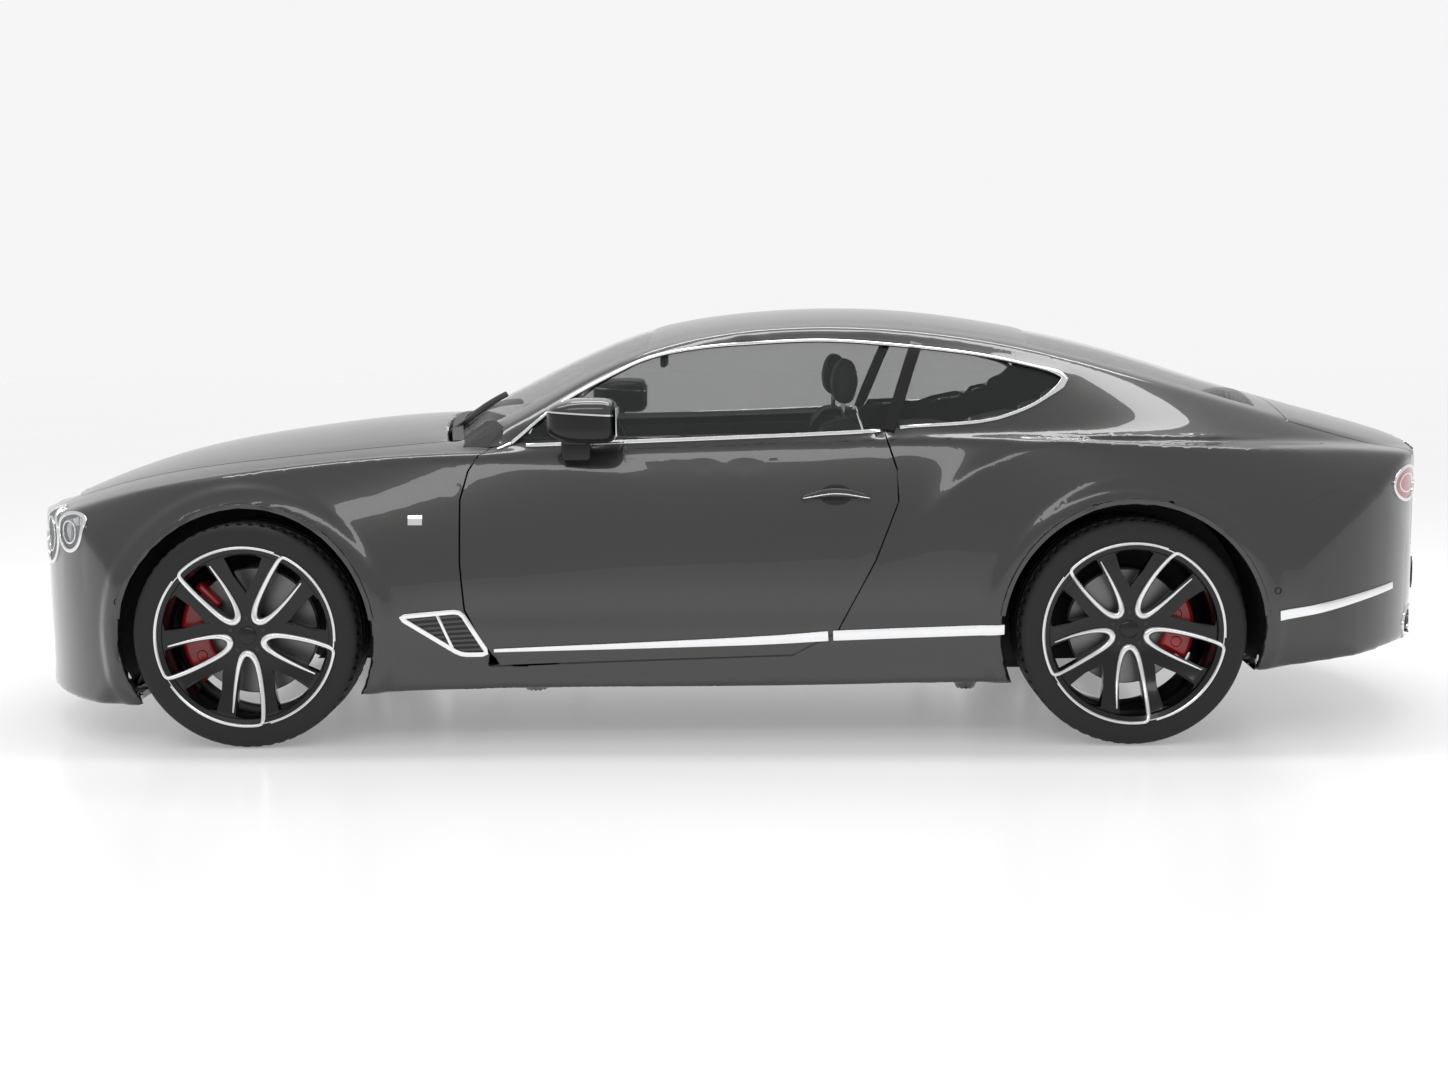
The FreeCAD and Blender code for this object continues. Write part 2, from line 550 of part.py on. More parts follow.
rear_skin = outer_low.cut(skin_space)
tail_pipe_cut = fused([lamp_prism(TAIL_X - 400, FAR, side * PIPE_Y, PIPE_Z, *PIPE_OVAL, SEAM) for side in SIDES])
rear_bumper = rear_skin.common(rear_band).cut(arch_cut).cut(lid_space).cut(tail_pipe_cut).cut(tail_cut).cut(
    box(0, TAIL_X - 400, -640, 640, 0, 400))
rear_bumper = rear_bumper.fuse(box(TAIL_X - 36, PLATE_X, -262, 262, PLATE_Z - 60, PLATE_Z + 60))
for side in SIDES:
    hole_end = Vector(along(PLATE_X) - 100, side * PLATE_HOLES / 2, PLATE_Z)
    hole = Part.makeCylinder(PLATE_HOLE_R, 200, hole_end, Vector(1, 0, 0))
    rear_bumper = rear_bumper.cut(hole)
    rear_bumper = rear_bumper.fuse(Part.makeCylinder(7, 25.5, at(TAIL_X - 27, side * 200, LID_BOTTOM_Z - 26)))
PARTS["rear_bumper"] = rear_bumper
LID_DEPTH = 52
lid_in = trimmed(lower_body(LID_DEPTH, LID_DEPTH, LID_DEPTH), LID_DEPTH)
PARTS["boot_lid"] = outer_low.fuse(outer_top).cut(lid_in).common(lid_plan).common(
    box(0, FAR, -FAR, FAR, LID_BOTTOM_Z, 1700))

# ---------------------------------------------------------------- doors, glass and mirrors
door_skin = outer_low.cut(lower_body(DOOR_SKIN, DOOR_SKIN, DOOR_SKIN))
door_skin = door_skin.common(door_body).common(between(1, 780, FAR))
door_slab = outer.cut(cabin_low).common(polygon_prism(DOOR_BOX)).common(between(1, 785, FAR))
door = door_skin.fuse(door_slab)
for z in HINGE_HEIGHTS:
    door = door.fuse(Part.makeCylinder(HINGE_PIN_R + 8, 2 * EYE_HALF, at(HINGE_X, HINGE_Y, z - EYE_HALF)))
    door = door.fuse(box(HINGE_X, HINGE_X + 36, HINGE_Y - 12, HINGE_Y + 5, z - EYE_HALF, z + EYE_HALF))
    bore_foot = at(HINGE_X, HINGE_Y, z - EYE_HALF - 1)
    door = door.cut(Part.makeCylinder(HINGE_PIN_R + RUNNING, 2 * EYE_HALF + 2, bore_foot))
store_pair("door", largest(door))
store_pair("door_glass", largest(side_glass.common(door_glass_shape).common(glass_area)))
store_both("quarter_windows", largest(side_glass.common(quarter_shape).common(quarter_area)))
head = box(-548, -350, 930, 1080, 985, 1124)
head = head.makeChamfer(32, head.Edges)
foot = box(-520, -420, 850, 985, 915, 1030)
mirror = head.fuse(foot).cut(lower_body(-SEAM, -SEAM, 0)).cut(glasshouse(-SEAM))
store_pair("mirror", largest(mirror))

# ---------------------------------------------------------------- under the skin
WALL_X = STEP_X[1] - 40                          # upright behind the rear seat
cabin_floor = box(WALL_ENDS[0], STEP_X[0] + 1, -FLOOR_HALF + SEAM, FLOOR_HALF - SEAM, 100, FLOOR_TOP)
floor = outer_low.common(cabin_floor.fuse(box(STEP_X[0], STEP_X[1], -REAR_HALF, REAR_HALF, 100, FLOOR_TOP)))
floor = floor.fuse(box(WALL_ENDS[0], WALL_X + 1, -120, 120, FLOOR_TOP - 1, TUNNEL_TOP))
floor = floor.cut(box(WALL_ENDS[0] - 1, WALL_X + 2, -95, 95, 100, TUNNEL_TOP - 30))
floor = floor.fuse(box(WALL_X, STEP_X[1], -REAR_HALF, REAR_HALF, FLOOR_TOP - 10, BOOT_FLOOR[1]))
floor = floor.fuse(box(WALL_X, 2290, -REAR_HALF, REAR_HALF, *BOOT_FLOOR).common(seat_in))
PARTS["floor_pan"] = floor

bulkhead = box(WALL_ENDS[0] - 22, WALL_ENDS[0] - SEAM, -820, 820, 200, 1100).common(seat_in)


def fork_corner(z):
    """The front corner of a hinge fork, cut back along the line where the fully open door's skin lies."""
    swing = math.radians(DOOR_SWING)
    inner_y, outer_y, past = -8.5, 4.6, 8.0
    inner_x, outer_x = [-(FORK_NOSE - y * math.cos(swing)) / math.sin(swing) for y in (inner_y, outer_y)]
    plan = [(inner_x, inner_y), (outer_x, outer_y), (outer_x, past), (inner_x - 1, past), (inner_x - 1, inner_y)]
    points = [at(HINGE_X + x, HINGE_Y + y, z - FORK_HALF - 1) for x, y in plan]
    return Part.Face(Part.makePolygon(points + points[:1])).extrude(Vector(0, 0, 2 * FORK_HALF + 2))


post = box(WALL_ENDS[0], HINGE_X + 1, 690, HINGE_Y - HINGE_AFT - 10.4, 264, 1100).common(cabin_low_in)
for z in HINGE_HEIGHTS:
    post = post.fuse(box(HINGE_X - 10, HINGE_X + 1, 815, HINGE_Y - 20, z - FORK_HALF, z + FORK_HALF))
    fork = box(HINGE_X - 10, HINGE_X + 10, 860, HINGE_Y + 5, z - FORK_HALF, z + FORK_HALF).cut(fork_corner(z))
    slot = EYE_HALF + SEAM
    post = post.fuse(fork.cut(box(HINGE_X - 11, HINGE_X + 11, 855, HINGE_Y + 7, z - slot, z + slot)))
    post = post.fuse(Part.makeCylinder(HINGE_PIN_R, 2 * FORK_HALF - 2, at(HINGE_X, HINGE_Y, z - FORK_HALF + 1)))
post = largest(post)
PARTS["bulkhead"] = Part.makeCompound([largest(bulkhead), mirrored(post), post, largest(cowl)])

support = box(NOSE_X + 255, NOSE_X + 275, -FAR, FAR, 140, 700).common(seat_in).cut(head_cut)
support = support.cut(box(-FAR, 0, -360, 360, 250, 640))
for side in SIDES:
    buffer = Part.makeCylinder(12, 300, at(NOSE_X + 265, side * 300, 680)).common(under_bonnet)
    support = support.fuse(buffer)
cross = box(FRONT_AXLE_X - 60, FRONT_AXLE_X + 60, -440, 440, 250, 310)
front_frame = support.fuse(cross)
KINGPIN_Y = AXLES["front"]["track"] / 2 - KINGPIN_OFFSET
ARM_REACH = 150.0
for side in SIDES:
    front_frame = front_frame.fuse(side_box(side, NOSE_X + 265, WALL_ENDS[0] - 22.4, *RAIL_Y, *RAIL_Z))
    front_frame = front_frame.fuse(side_box(side, FRONT_AXLE_X - 40, FRONT_AXLE_X + 40, 395, 445, 204,
                                            AXLE_Z + ARM_REACH + 12))
    for z in (AXLE_Z - ARM_REACH, AXLE_Z + ARM_REACH):
        arm = side_box(side, FRONT_AXLE_X - 20, FRONT_AXLE_X + 20, 430, KINGPIN_Y + 16, z - 12, z + 12)
        front_frame = front_frame.fuse(arm)
    pin_foot = at(FRONT_AXLE_X, side * KINGPIN_Y, AXLE_Z - ARM_REACH)
    front_frame = front_frame.fuse(Part.makeCylinder(KINGPIN_R, 2 * ARM_REACH, pin_foot))
PARTS["front_frame"] = front_frame

engine = box(FRONT_AXLE_X - 320, FRONT_AXLE_X + 420, -290, 290, 330, 760)
for side in SIDES:
    engine = engine.fuse(side_box(side, FRONT_AXLE_X + 120, FRONT_AXLE_X + 200, 280, RAIL_Y[0] - SEAM, 340, 390))
PARTS["engine"] = engine


def arch_liner(axle, inner_y, hole_r):
    """A trough over the wheel and a wall on its inner side, trimmed to the inside of the skin."""
    r = axle["liner_r"]
    trough = tube_y(axle["x"], AXLE_Z, inner_y, 960, r + 6, r)
    wall = tube_y(axle["x"], AXLE_Z, inner_y, inner_y + 6, r + 3, hole_r)
    return largest(trough.fuse(wall).cut(box(-FAR, FAR, -FAR, FAR, 0, 214)).common(seat_in).cut(head_cut))


store_both("arch_liners", arch_liner(AXLES["front"], 470, 200), arch_liner(AXLES["rear"], 632, 120))

silencer = box(REAR_AXLE_X + 560, TAIL_X - 260, -600, 600, 325, 395)
for side in SIDES:
    pipe = lamp_prism(TAIL_X - 280, PIPE_END_X, side * PIPE_Y, PIPE_Z, *PIPE_OVAL).cut(
        lamp_prism(TAIL_X - 240, TAIL_X, side * PIPE_Y, PIPE_Z, *PIPE_OVAL, -PIPE_WALL))
    silencer = silencer.fuse(pipe).fuse(side_box(side, 2000, 2040, 300, 340, 380, BOOT_FLOOR[0] - SEAM))
PARTS["exhaust"] = silencer

# ---------------------------------------------------------------- lamps
store_both("headlamps", *[outer_low.common(can) for can in lamp_cans(HEADLAMPS)])
store_both("tail_lamps", *[outer_low.common(can) for can in lamp_cans(TAIL_LAMPS)])

# ---------------------------------------------------------------- cabin
DASH_SIDE = [(-853, 640), (-640, 600), (-560, 700), (-560, 850), (-640, 905), (-853, 905)]
dash = polygon_prism(DASH_SIDE, 0, -675, 675).common(cabin_in)
COLUMN_Y = -370.0
COLUMN_TILT = math.radians(25)
COLUMN_DIR = Vector(math.cos(COLUMN_TILT), 0, math.sin(COLUMN_TILT))
WHEEL_HUB = at(-330, COLUMN_Y, 880)
column = Part.makeCylinder(16, 330, WHEEL_HUB - COLUMN_DIR * 380, COLUMN_DIR)
console = box(-700, 300, -110, 110, TUNNEL_TOP + ON_TOP, 620)
PARTS["dashboard"] = dash.fuse(column).fuse(console)
ring = Part.makeTorus(178, 15, WHEEL_HUB, COLUMN_DIR)
hub = Part.makeCylinder(60, 40, WHEEL_HUB - COLUMN_DIR * 49.9, COLUMN_DIR)
spoke = Part.makeBox(20, 356, 16, Vector(-10, -178, -8))
spoke.Placement = FreeCAD.Placement(WHEEL_HUB - COLUMN_DIR * 14, FreeCAD.Rotation(Vector(0, 1, 0), 65))
PARTS["steering_wheel"] = ring.fuse(hub).fuse(spoke)

SEAT_BASE = FLOOR_TOP + ON_TOP
SEAT_SIDE = [(-150, SEAT_BASE), (-150, 500), (-120, 560), (250, 520), (390, 1080), (330, 1150), (380, 1250),
             (450, 1240), (470, 1150), (460, 1060), (400, 560), (340, 430), (340, SEAT_BASE)]
seat = polygon_prism(SEAT_SIDE, 0, 140, 680)
for y in (140, 530):
    seat = seat.cut(box(300, 480, y - 10, y + 160, 1130, 1300))
store_both("front_seats", seat.cut(box(-140, 330, 210, 610, 249, 400)))
REAR_SEAT_SIDE = [(620, SEAT_BASE), (620, 500), (660, 540), (900, 490), (1060, 960), (1160, 960),
                  (1070, BOOT_FLOOR[1] + ON_TOP), (WALL_X - ON_TOP, BOOT_FLOOR[1] + ON_TOP), (WALL_X - ON_TOP, SEAT_BASE)]
PARTS["rear_seat"] = polygon_prism(REAR_SEAT_SIDE, 0, -560, 560).cut(
    box(600, 960, -125, 125, FLOOR_TOP - 10, TUNNEL_TOP + ON_TOP))

# ---------------------------------------------------------------- wheels, brakes and steering knuckles
rear_frame = box(REAR_AXLE_X - 60, REAR_AXLE_X + 60, -600, 600, 300, 400)
for end, axle in AXLES.items():
    mid = axle["track"] / 2
    half = axle["tyre_w"] / 2
    x = axle["x"]
    store_pair("tyre_" + end, tube_y(x, AXLE_Z, mid - half, mid + half, TYRE_R, BEAD_R))
    face = mid + half - 5 - axle["dish"]
    spokes = tube_y(x, AXLE_Z, face - 30, face, BEAD_R - 10)
    for k in range(5):
        for spread in (-0.31, 0.31):
            a = math.radians(72 * k + 54) + spread
            pocket_x, pocket_z = x + POCKET_AT * math.cos(a), AXLE_Z + POCKET_AT * math.sin(a)
            spokes = spokes.cut(tube_y(pocket_x, pocket_z, face - 31, face + 1, POCKET_R))
    hub_in = mid - 8
    wheel = tube_y(x, AXLE_Z, mid - half + 5, mid + half - 5, BEAD_R - 0.4, BEAD_R - 18).fuse(spokes)
    wheel = wheel.fuse(tube_y(x, AXLE_Z, hub_in, face - 1, 75))
    wheel = wheel.cut(tube_y(x, AXLE_Z, mid - half, 881, SPINDLE_R + RUNNING))
    store_pair("rim_" + end, wheel)
    disc_out = hub_in - SEAM
    disc = tube_y(x, AXLE_Z, disc_out, disc_out - 30, axle["disc_r"], SPINDLE_R + RUNNING)
    store_pair("brake_disc_" + end, disc)
    lead = -1 if end == "front" else 1
    wedge = polygon_prism([(x, AXLE_Z), (x + lead * 330, AXLE_Z - 170), (x + lead * 330, AXLE_Z + 170)])
    grip = tube_y(x, AXLE_Z, disc_out + 28, disc_out - 54, axle["disc_r"] + 22, axle["disc_r"] - 68).common(wedge)
    caliper = grip.cut(tube_y(x, AXLE_Z, disc_out + 6, disc_out - 36, axle["disc_r"] + 6))
    plate = tube_y(x, AXLE_Z, disc_out - 46, disc_out - 54, axle["disc_r"] - 20).common(wedge)
    carrier = caliper.fuse(plate).fuse(tube_y(x, AXLE_Z, disc_out - 42, disc_out - 54, 60))
    if end == "front":
        knuckle = Part.makeCylinder(24, 2 * 137, at(x, KINGPIN_Y, AXLE_Z - 137))
        knuckle = knuckle.fuse(tube_y(x, AXLE_Z, KINGPIN_Y, 880, SPINDLE_R)).fuse(carrier)
        knuckle = knuckle.cut(Part.makeCylinder(KINGPIN_R + RUNNING, 300, at(x, KINGPIN_Y, AXLE_Z - 150)))
        store_pair("knuckle", largest(knuckle))
    else:
        stub = tube_y(x, AXLE_Z, 590, 880, SPINDLE_R).fuse(carrier)
        strut = box(x - 40, x + 40, 520, 600, 390, BOOT_FLOOR[0] - SEAM)
        for arm in (stub, strut):
            rear_frame = rear_frame.fuse(arm).fuse(mirrored(arm))
PARTS["rear_frame"] = rear_frame

os.makedirs("parts", exist_ok=True)
for name, shape in PARTS.items():
    shape.exportStep("parts/" + name + ".step")
print(len(PARTS), "parts")
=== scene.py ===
"""Two-door grand touring coupe: the looks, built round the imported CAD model.

Metres, +X towards the tail, +Y to the car's right, +Z up. The origin is on the ground under the car.
Left-hand pieces are modelled and mirrored to the right.
"""
import json
import math
from contextlib import contextmanager

import bmesh
import bpy
from mathutils import Matrix, Vector
from mathutils.bvhtree import BVHTree


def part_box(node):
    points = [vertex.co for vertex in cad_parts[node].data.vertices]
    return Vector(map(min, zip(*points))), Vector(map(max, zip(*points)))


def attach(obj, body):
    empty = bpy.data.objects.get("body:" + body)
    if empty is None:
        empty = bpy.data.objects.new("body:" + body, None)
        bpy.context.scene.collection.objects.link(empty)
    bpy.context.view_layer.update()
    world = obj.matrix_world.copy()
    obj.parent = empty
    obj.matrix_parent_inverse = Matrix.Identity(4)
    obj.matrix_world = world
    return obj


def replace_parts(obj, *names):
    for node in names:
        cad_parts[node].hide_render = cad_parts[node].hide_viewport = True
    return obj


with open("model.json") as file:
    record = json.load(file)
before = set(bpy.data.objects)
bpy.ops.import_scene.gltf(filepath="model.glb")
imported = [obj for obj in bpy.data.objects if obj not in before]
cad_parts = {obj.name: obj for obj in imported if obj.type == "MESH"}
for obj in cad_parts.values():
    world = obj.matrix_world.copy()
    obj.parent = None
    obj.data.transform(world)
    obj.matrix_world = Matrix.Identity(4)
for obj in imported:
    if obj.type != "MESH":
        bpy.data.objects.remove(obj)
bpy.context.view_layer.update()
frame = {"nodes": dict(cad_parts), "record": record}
SIDES = ("left", "right")
ENDS = ("front", "rear")
MATERIALS = {}
EVEN = (1.0, 1.0, 1.0)


# ---------------------------------------------------------------- shader values and materials
class Value:
    """A node's output that arithmetic works on: each sum or product adds its Math node."""

    def __init__(self, paint, socket):
        self.paint, self.socket = paint, socket

    def __add__(self, other):
        return self.paint.math("ADD", self, other)

    def __mul__(self, other):
        return self.paint.math("MULTIPLY", self, other)

    def rise(self, low, high):
        """0 below low, 1 above high, and a smooth step between."""
        return self.paint.node("ShaderNodeMapRange", {"interpolation_type": "SMOOTHSTEP"}, Value=self,
                               From_Min=low, From_Max=high)


class Paint:
    """One material, with fixed values on its shader's own sockets and what varies set by varies()."""

    def __init__(self, name, **fixed):
        self.material = bpy.data.materials.new(name)
        self.material.use_nodes = True
        self.nodes, self.links = self.material.node_tree.nodes, self.material.node_tree.links
        self.shader = self.nodes["Principled BSDF"]
        for key, value in fixed.items():
            self.shader.inputs[key.replace("_", " ")].default_value = value
        MATERIALS[name] = self.material

    def node(self, kind, settings=None, out=0, **inputs):
        """Any node: its settings first, then its sockets by name, and the wanted output as a Value."""
        made = self.nodes.new(kind)
        for key, value in (settings or {}).items():
            setattr(made, key, value)
        for key, value in inputs.items():
            socket = made.inputs[int(key[1:])] if key[0] == "_" else made.inputs[key.replace("_", " ")]
            self.feed(socket, value)
        return Value(self, made.outputs[out])

    def feed(self, socket, value):
        if isinstance(value, Value):
            self.links.new(value.socket, socket)
        else:
            socket.default_value = value

    def math(self, operation, one, other):
        return self.node("ShaderNodeMath", {"operation": operation}, _0=one, _1=other)

    def mix(self, share, one, other):
        return self.node("ShaderNodeMix", {"data_type": "RGBA"}, out=2, _0=share, _6=rgba(one),
                         _7=rgba(other))

    def place(self, scale=EVEN):
        where = self.node("ShaderNodeTexCoord", out=3)
        return self.node("ShaderNodeMapping", Vector=where, Scale=scale)

    def noise(self, scale, detail=2.0, stretch=EVEN):
        return self.node("ShaderNodeTexNoise", Vector=self.place(stretch), Scale=scale, Detail=detail)

    def cells(self, scale, feature="F1"):
        return self.node("ShaderNodeTexVoronoi", {"feature": feature}, Vector=self.place(), Scale=scale)

    def varies(self, **sockets):
        for key, value in sockets.items():
            self.feed(self.shader.inputs[key.replace("_", " ")], value)

    def bump(self, height, distance=0.001, strength=1.0):
        self.varies(Normal=self.node("ShaderNodeBump", Height=height, Distance=distance, Strength=strength))


def rgba(colour):
    return colour if isinstance(colour, Value) else (*colour[:3], 1.0)


def grained(name, dark, light, roughness, scale, detail, bump=None, stretch=EVEN, **fixed):
    """A material whose colour and roughness (its spread and least value) follow one noise.

    bump is a distance and a strength, with a noise of its own after them if it doesn't follow the same one.
    """
    paint = Paint(name, **fixed)
    grain = paint.noise(scale, detail, stretch)
    spread, least = roughness
    paint.varies(Base_Color=paint.mix(grain, dark, light), Roughness=grain * spread + least)
    if bump:
        distance, strength, *own = bump
        paint.bump(paint.noise(*own) if own else grain, distance, strength)


def make_materials():
    paint = Paint("body_paint", Metallic=0.65, Coat_Weight=1.0, Coat_Roughness=0.015, Coat_IOR=1.5)
    flakes = paint.cells(900.0)
    depth = paint.noise(1.3, 2.0)
    share = flakes * 0.5 + depth * 0.3
    paint.varies(Base_Color=paint.mix(share, (0.041, 0.040, 0.039), (0.025, 0.0245, 0.024)),
                 Roughness=flakes * 0.10 + 0.24)
    paint.bump(paint.noise(700.0, 1.0), 0.00001, 0.10)

    glass = Paint("tinted_glass", Coat_Weight=0.0, Roughness=0.02, Specular_IOR_Level=0.6)
    tone = glass.noise(0.8, 1.0)
    glass.varies(Base_Color=glass.mix(tone, (0.030, 0.036, 0.034), (0.022, 0.028, 0.026)),
                 Alpha=tone * 0.05 + 0.26)

    leather = Paint("dark_leather", Specular_IOR_Level=0.45, Sheen_Weight=0.1)
    tone = leather.noise(5.0, 3.0)
    leather.varies(Base_Color=leather.mix(tone, (0.022, 0.022, 0.024), (0.036, 0.035, 0.037)),
                   Roughness=tone * 0.15 + 0.42)
    leather.bump(leather.cells(420.0, "DISTANCE_TO_EDGE").rise(0.0, 0.2), 0.0006, 0.5)

    lens = Paint("lamp_glass", Roughness=0.03, Specular_IOR_Level=0.6, Coat_Weight=0.4)
    flute = lens.noise(25.0, 1.0)
    lens.varies(Base_Color=lens.mix(flute, (0.62, 0.64, 0.66), (0.72, 0.73, 0.75)), Alpha=flute * 0.05 + 0.22)

    ruby = Paint("red_lens", Roughness=0.06, Specular_IOR_Level=0.6, Coat_Weight=0.8, Emission_Strength=0.25)
    facets = ruby.cells(130.0).rise(0.1, 0.6)
    ruby.varies(Base_Color=ruby.mix(facets, (0.42, 0.006, 0.018), (0.20, 0.002, 0.008)),
                Emission_Color=ruby.mix(facets, (0.60, 0.03, 0.08), (0.25, 0.0, 0.01)))

    grained("tyre_rubber", (0.011, 0.011, 0.011), (0.020, 0.020, 0.020), (0.2, 0.55), 7.0, 3.0,
            (0.0004, 0.35, 220.0, 5.0), Specular_IOR_Level=0.35)
    grained("black_plastic", (0.010, 0.010, 0.010), (0.018, 0.018, 0.018), (0.15, 0.5), 6.0, 2.0,
            (0.0003, 0.5, 420.0, 3.0), Specular_IOR_Level=0.4)
    grained("brake_iron", (0.17, 0.17, 0.17), (0.30, 0.295, 0.29), (0.2, 0.28), 12.0, 3.0,
            (0.0002, 0.4, 240.0, 2.0, (0.05, 1.0, 0.05)), Metallic=0.9)
    grained("gloss_black", (0.003, 0.003, 0.004), (0.006, 0.006, 0.007), (0.12, 0.12), 9.0, 3.0, Metallic=0.0,
            Coat_Weight=0.25, Coat_Roughness=0.03, Specular_IOR_Level=0.28)
    grained("chrome", (0.78, 0.79, 0.80), (0.86, 0.86, 0.87), (0.06, 0.05), 30.0, 4.0, Metallic=1.0)
    grained("machined", (0.70, 0.71, 0.72), (0.84, 0.84, 0.85), (0.14, 0.16), 60.0, 3.0, (0.00004, 0.5),
            (1.0, 14.0, 1.0), Metallic=1.0)
    grained("underbody", (0.012, 0.012, 0.012), (0.028, 0.027, 0.026), (0.2, 0.65), 90.0, 6.0, (0.001, 0.6),
            Specular_IOR_Level=0.3)
    grained("dark_steel", (0.030, 0.030, 0.031), (0.055, 0.055, 0.056), (0.2, 0.35), 35.0, 4.0, (0.0003, 0.3),
            Metallic=0.5)
    grained("cast_metal", (0.26, 0.26, 0.27), (0.40, 0.40, 0.40), (0.2, 0.42), 160.0, 6.0, (0.0005, 0.6),
            Metallic=0.85)
    grained("caliper_red", (0.36, 0.008, 0.012), (0.46, 0.014, 0.020), (0.12, 0.28), 40.0, 3.0, (0.0002, 0.2),
            Coat_Weight=0.5, Coat_Roughness=0.08)
    grained("cabin_trim", (0.016, 0.016, 0.017), (0.026, 0.026, 0.027), (0.1, 0.6), 520.0, 4.0, (0.0004, 0.5),
            Specular_IOR_Level=0.35)


SLOT_MATERIAL = {
    "body_paint": "body_paint", "glass": "tinted_glass", "chrome": "chrome", "black_plastic": "black_plastic",
    "underbody": "underbody", "steel": "dark_steel", "cast": "cast_metal", "wheel_black": "gloss_black",
    "tyre": "tyre_rubber", "brake_iron": "brake_iron", "leather": "dark_leather", "trim": "cabin_trim",
    "lamp": "lamp_glass", "red_lamp": "red_lens",
}
SLOT_OF = {material: slot for slot, material in SLOT_MATERIAL.items()}
SLOT_OF.update(machined="chrome", caliper_red="steel")


def dress_frame():
    """Every CAD node gets the procedural material of its slot."""
    slots = {part["node"]: part["material_slot"] for part in frame["record"]["subparts"]}
    for name, obj in frame["nodes"].items():
        material = MATERIALS[SLOT_MATERIAL[slots[name]]]
        for slot in obj.material_slots:
            slot.material = material


# ---------------------------------------------------------------- modelling moves
def deselect():
    bpy.ops.object.select_all(action="DESELECT")


def take(obj):
    deselect()
    bpy.context.view_layer.objects.active = obj
    obj.select_set(True)


@contextmanager
def editing(obj):
    """Edit mode on one object, with everything selected."""
    take(obj)
    bpy.ops.object.mode_set(mode="EDIT")
    select_all()
    yield
    bpy.ops.object.mode_set(mode="OBJECT")


def select(obj, test, kind="faces"):
    """Selects the faces or edges that pass a test."""
    bpy.ops.mesh.select_mode(type={"faces": "FACE", "edges": "EDGE"}[kind])
    bpy.ops.mesh.select_all(action="DESELECT")
    mesh = bmesh.from_edit_mesh(obj.data)
    for part in getattr(mesh, kind):
        if test(part):
            part.select_set(True)
    bmesh.update_edit_mesh(obj.data)


def select_all():
    bpy.ops.mesh.select_all(action="SELECT")


def weld(gap=0.00002):
    """Merges the points that are nearer to each other than gap."""
    select_all()
    bpy.ops.mesh.remove_doubles(threshold=gap)


def extrude(way):
    bpy.ops.mesh.extrude_region_move(TRANSFORM_OT_translate={"value": way})


def modify(obj, kind, **settings):
    """Adds a modifier and applies it."""
    take(obj)
    made = obj.modifiers.new(kind, kind)
    for key, value in settings.items():
        setattr(made, key, value)
    bpy.ops.object.modifier_apply(modifier=made.name)


def bevelled(obj, width, segments=3, degrees=30.0):
    """Rounds the edges that turn by more than an angle."""
    modify(obj, "BEVEL", width=width, segments=segments, limit_method="ANGLE",
           angle_limit=math.radians(degrees))


def thickened(obj, thickness, offset=0.0):
    modify(obj, "SOLIDIFY", thickness=thickness, offset=offset)


def smooth(obj, degrees=35.0):
    take(obj)
    bpy.ops.object.shade_smooth_by_angle(angle=math.radians(degrees))


def copied(obj, name):
    """A copy with its own mesh."""
    twin = obj.copy()
    twin.data = obj.data.copy()
    twin.name = name
    twin.parent = None
    bpy.context.collection.objects.link(twin)
    return twin


def placed(obj, matrix):
    """Moves a piece's mesh, so that its object stays at the origin."""
    obj.data.transform(matrix)
    if matrix.determinant() < 0:
        obj.data.flip_normals()
    return obj


def mirrored(obj, name):
    return placed(copied(obj, name), Matrix.Scale(-1.0, 4, (0.0, 1.0, 0.0)))


def settle(obj):
    """Puts the object at the origin, with its place in its mesh."""
    take(obj)
    bpy.ops.object.transform_apply(location=True, rotation=True, scale=True)
    return obj


def done(obj, material, body, node=None):
    """A finished piece: its material, the body it rides on and the CAD node that it stands for."""
    obj.data.materials.clear()
    obj.data.materials.append(MATERIALS[material])
    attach(obj, body)
    if node:
        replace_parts(obj, node)


def side_pair(name, piece, material, body, node=None):
    """The left piece and its mirror image. A body or node that ends in _ gets each side's name."""
    for side, obj in {"left": piece, "right": mirrored(piece, name)}.items():
        obj.name = name + "_" + side
        done(obj, material, *(word + side if word and word.endswith("_") else word for word in (body, node)))


def dot(name, place):
    """A mesh of one vertex, which extrude grows into an outline."""
    bpy.ops.mesh.primitive_plane_add(size=0.01, location=place)
    obj = bpy.context.object
    obj.name = name
    with editing(obj):
        bpy.ops.mesh.merge(type="CENTER")
    return settle(obj)


def chain(name, points):
    """A line of edges through these points."""
    points = [Vector(p) for p in points]
    obj = dot(name, points[0])
    with editing(obj):
        bpy.ops.mesh.select_mode(type="VERT")
        select_all()
        for before, after in zip(points, points[1:]):
            extrude(after - before)
    return obj


def turned(name, outline, centre, steps=96):
    """A round piece about a line along Y: outline is (radius, distance in Y), and closed if its ends meet."""
    axis = Vector((0.0, 1.0, 0.0))
    out = axis.orthogonal().normalized()
    centre = Vector(centre)
    obj = chain(name, [centre + out * r + axis * a for r, a in outline])
    with editing(obj):
        bpy.ops.mesh.spin(steps=steps, angle=math.tau, center=centre, axis=axis)
        weld(0.00001)
        bpy.ops.mesh.normals_make_consistent(inside=False)
    return obj


def slab(name, outline, depth):
    """A flat outline of points, filled and extruded by the vector depth."""
    obj = chain(name, outline)
    with editing(obj):
        bpy.ops.mesh.edge_face_add()
        select_all()
        extrude(depth)
        select_all()
        bpy.ops.mesh.normals_make_consistent(inside=False)
    return obj


def side_slab(name, outline, y0, y1):
    """A slab from an outline in x and z, between two values of y."""
    return slab(name, [(x, y0, z) for x, z in outline], (0.0, y1 - y0, 0.0))


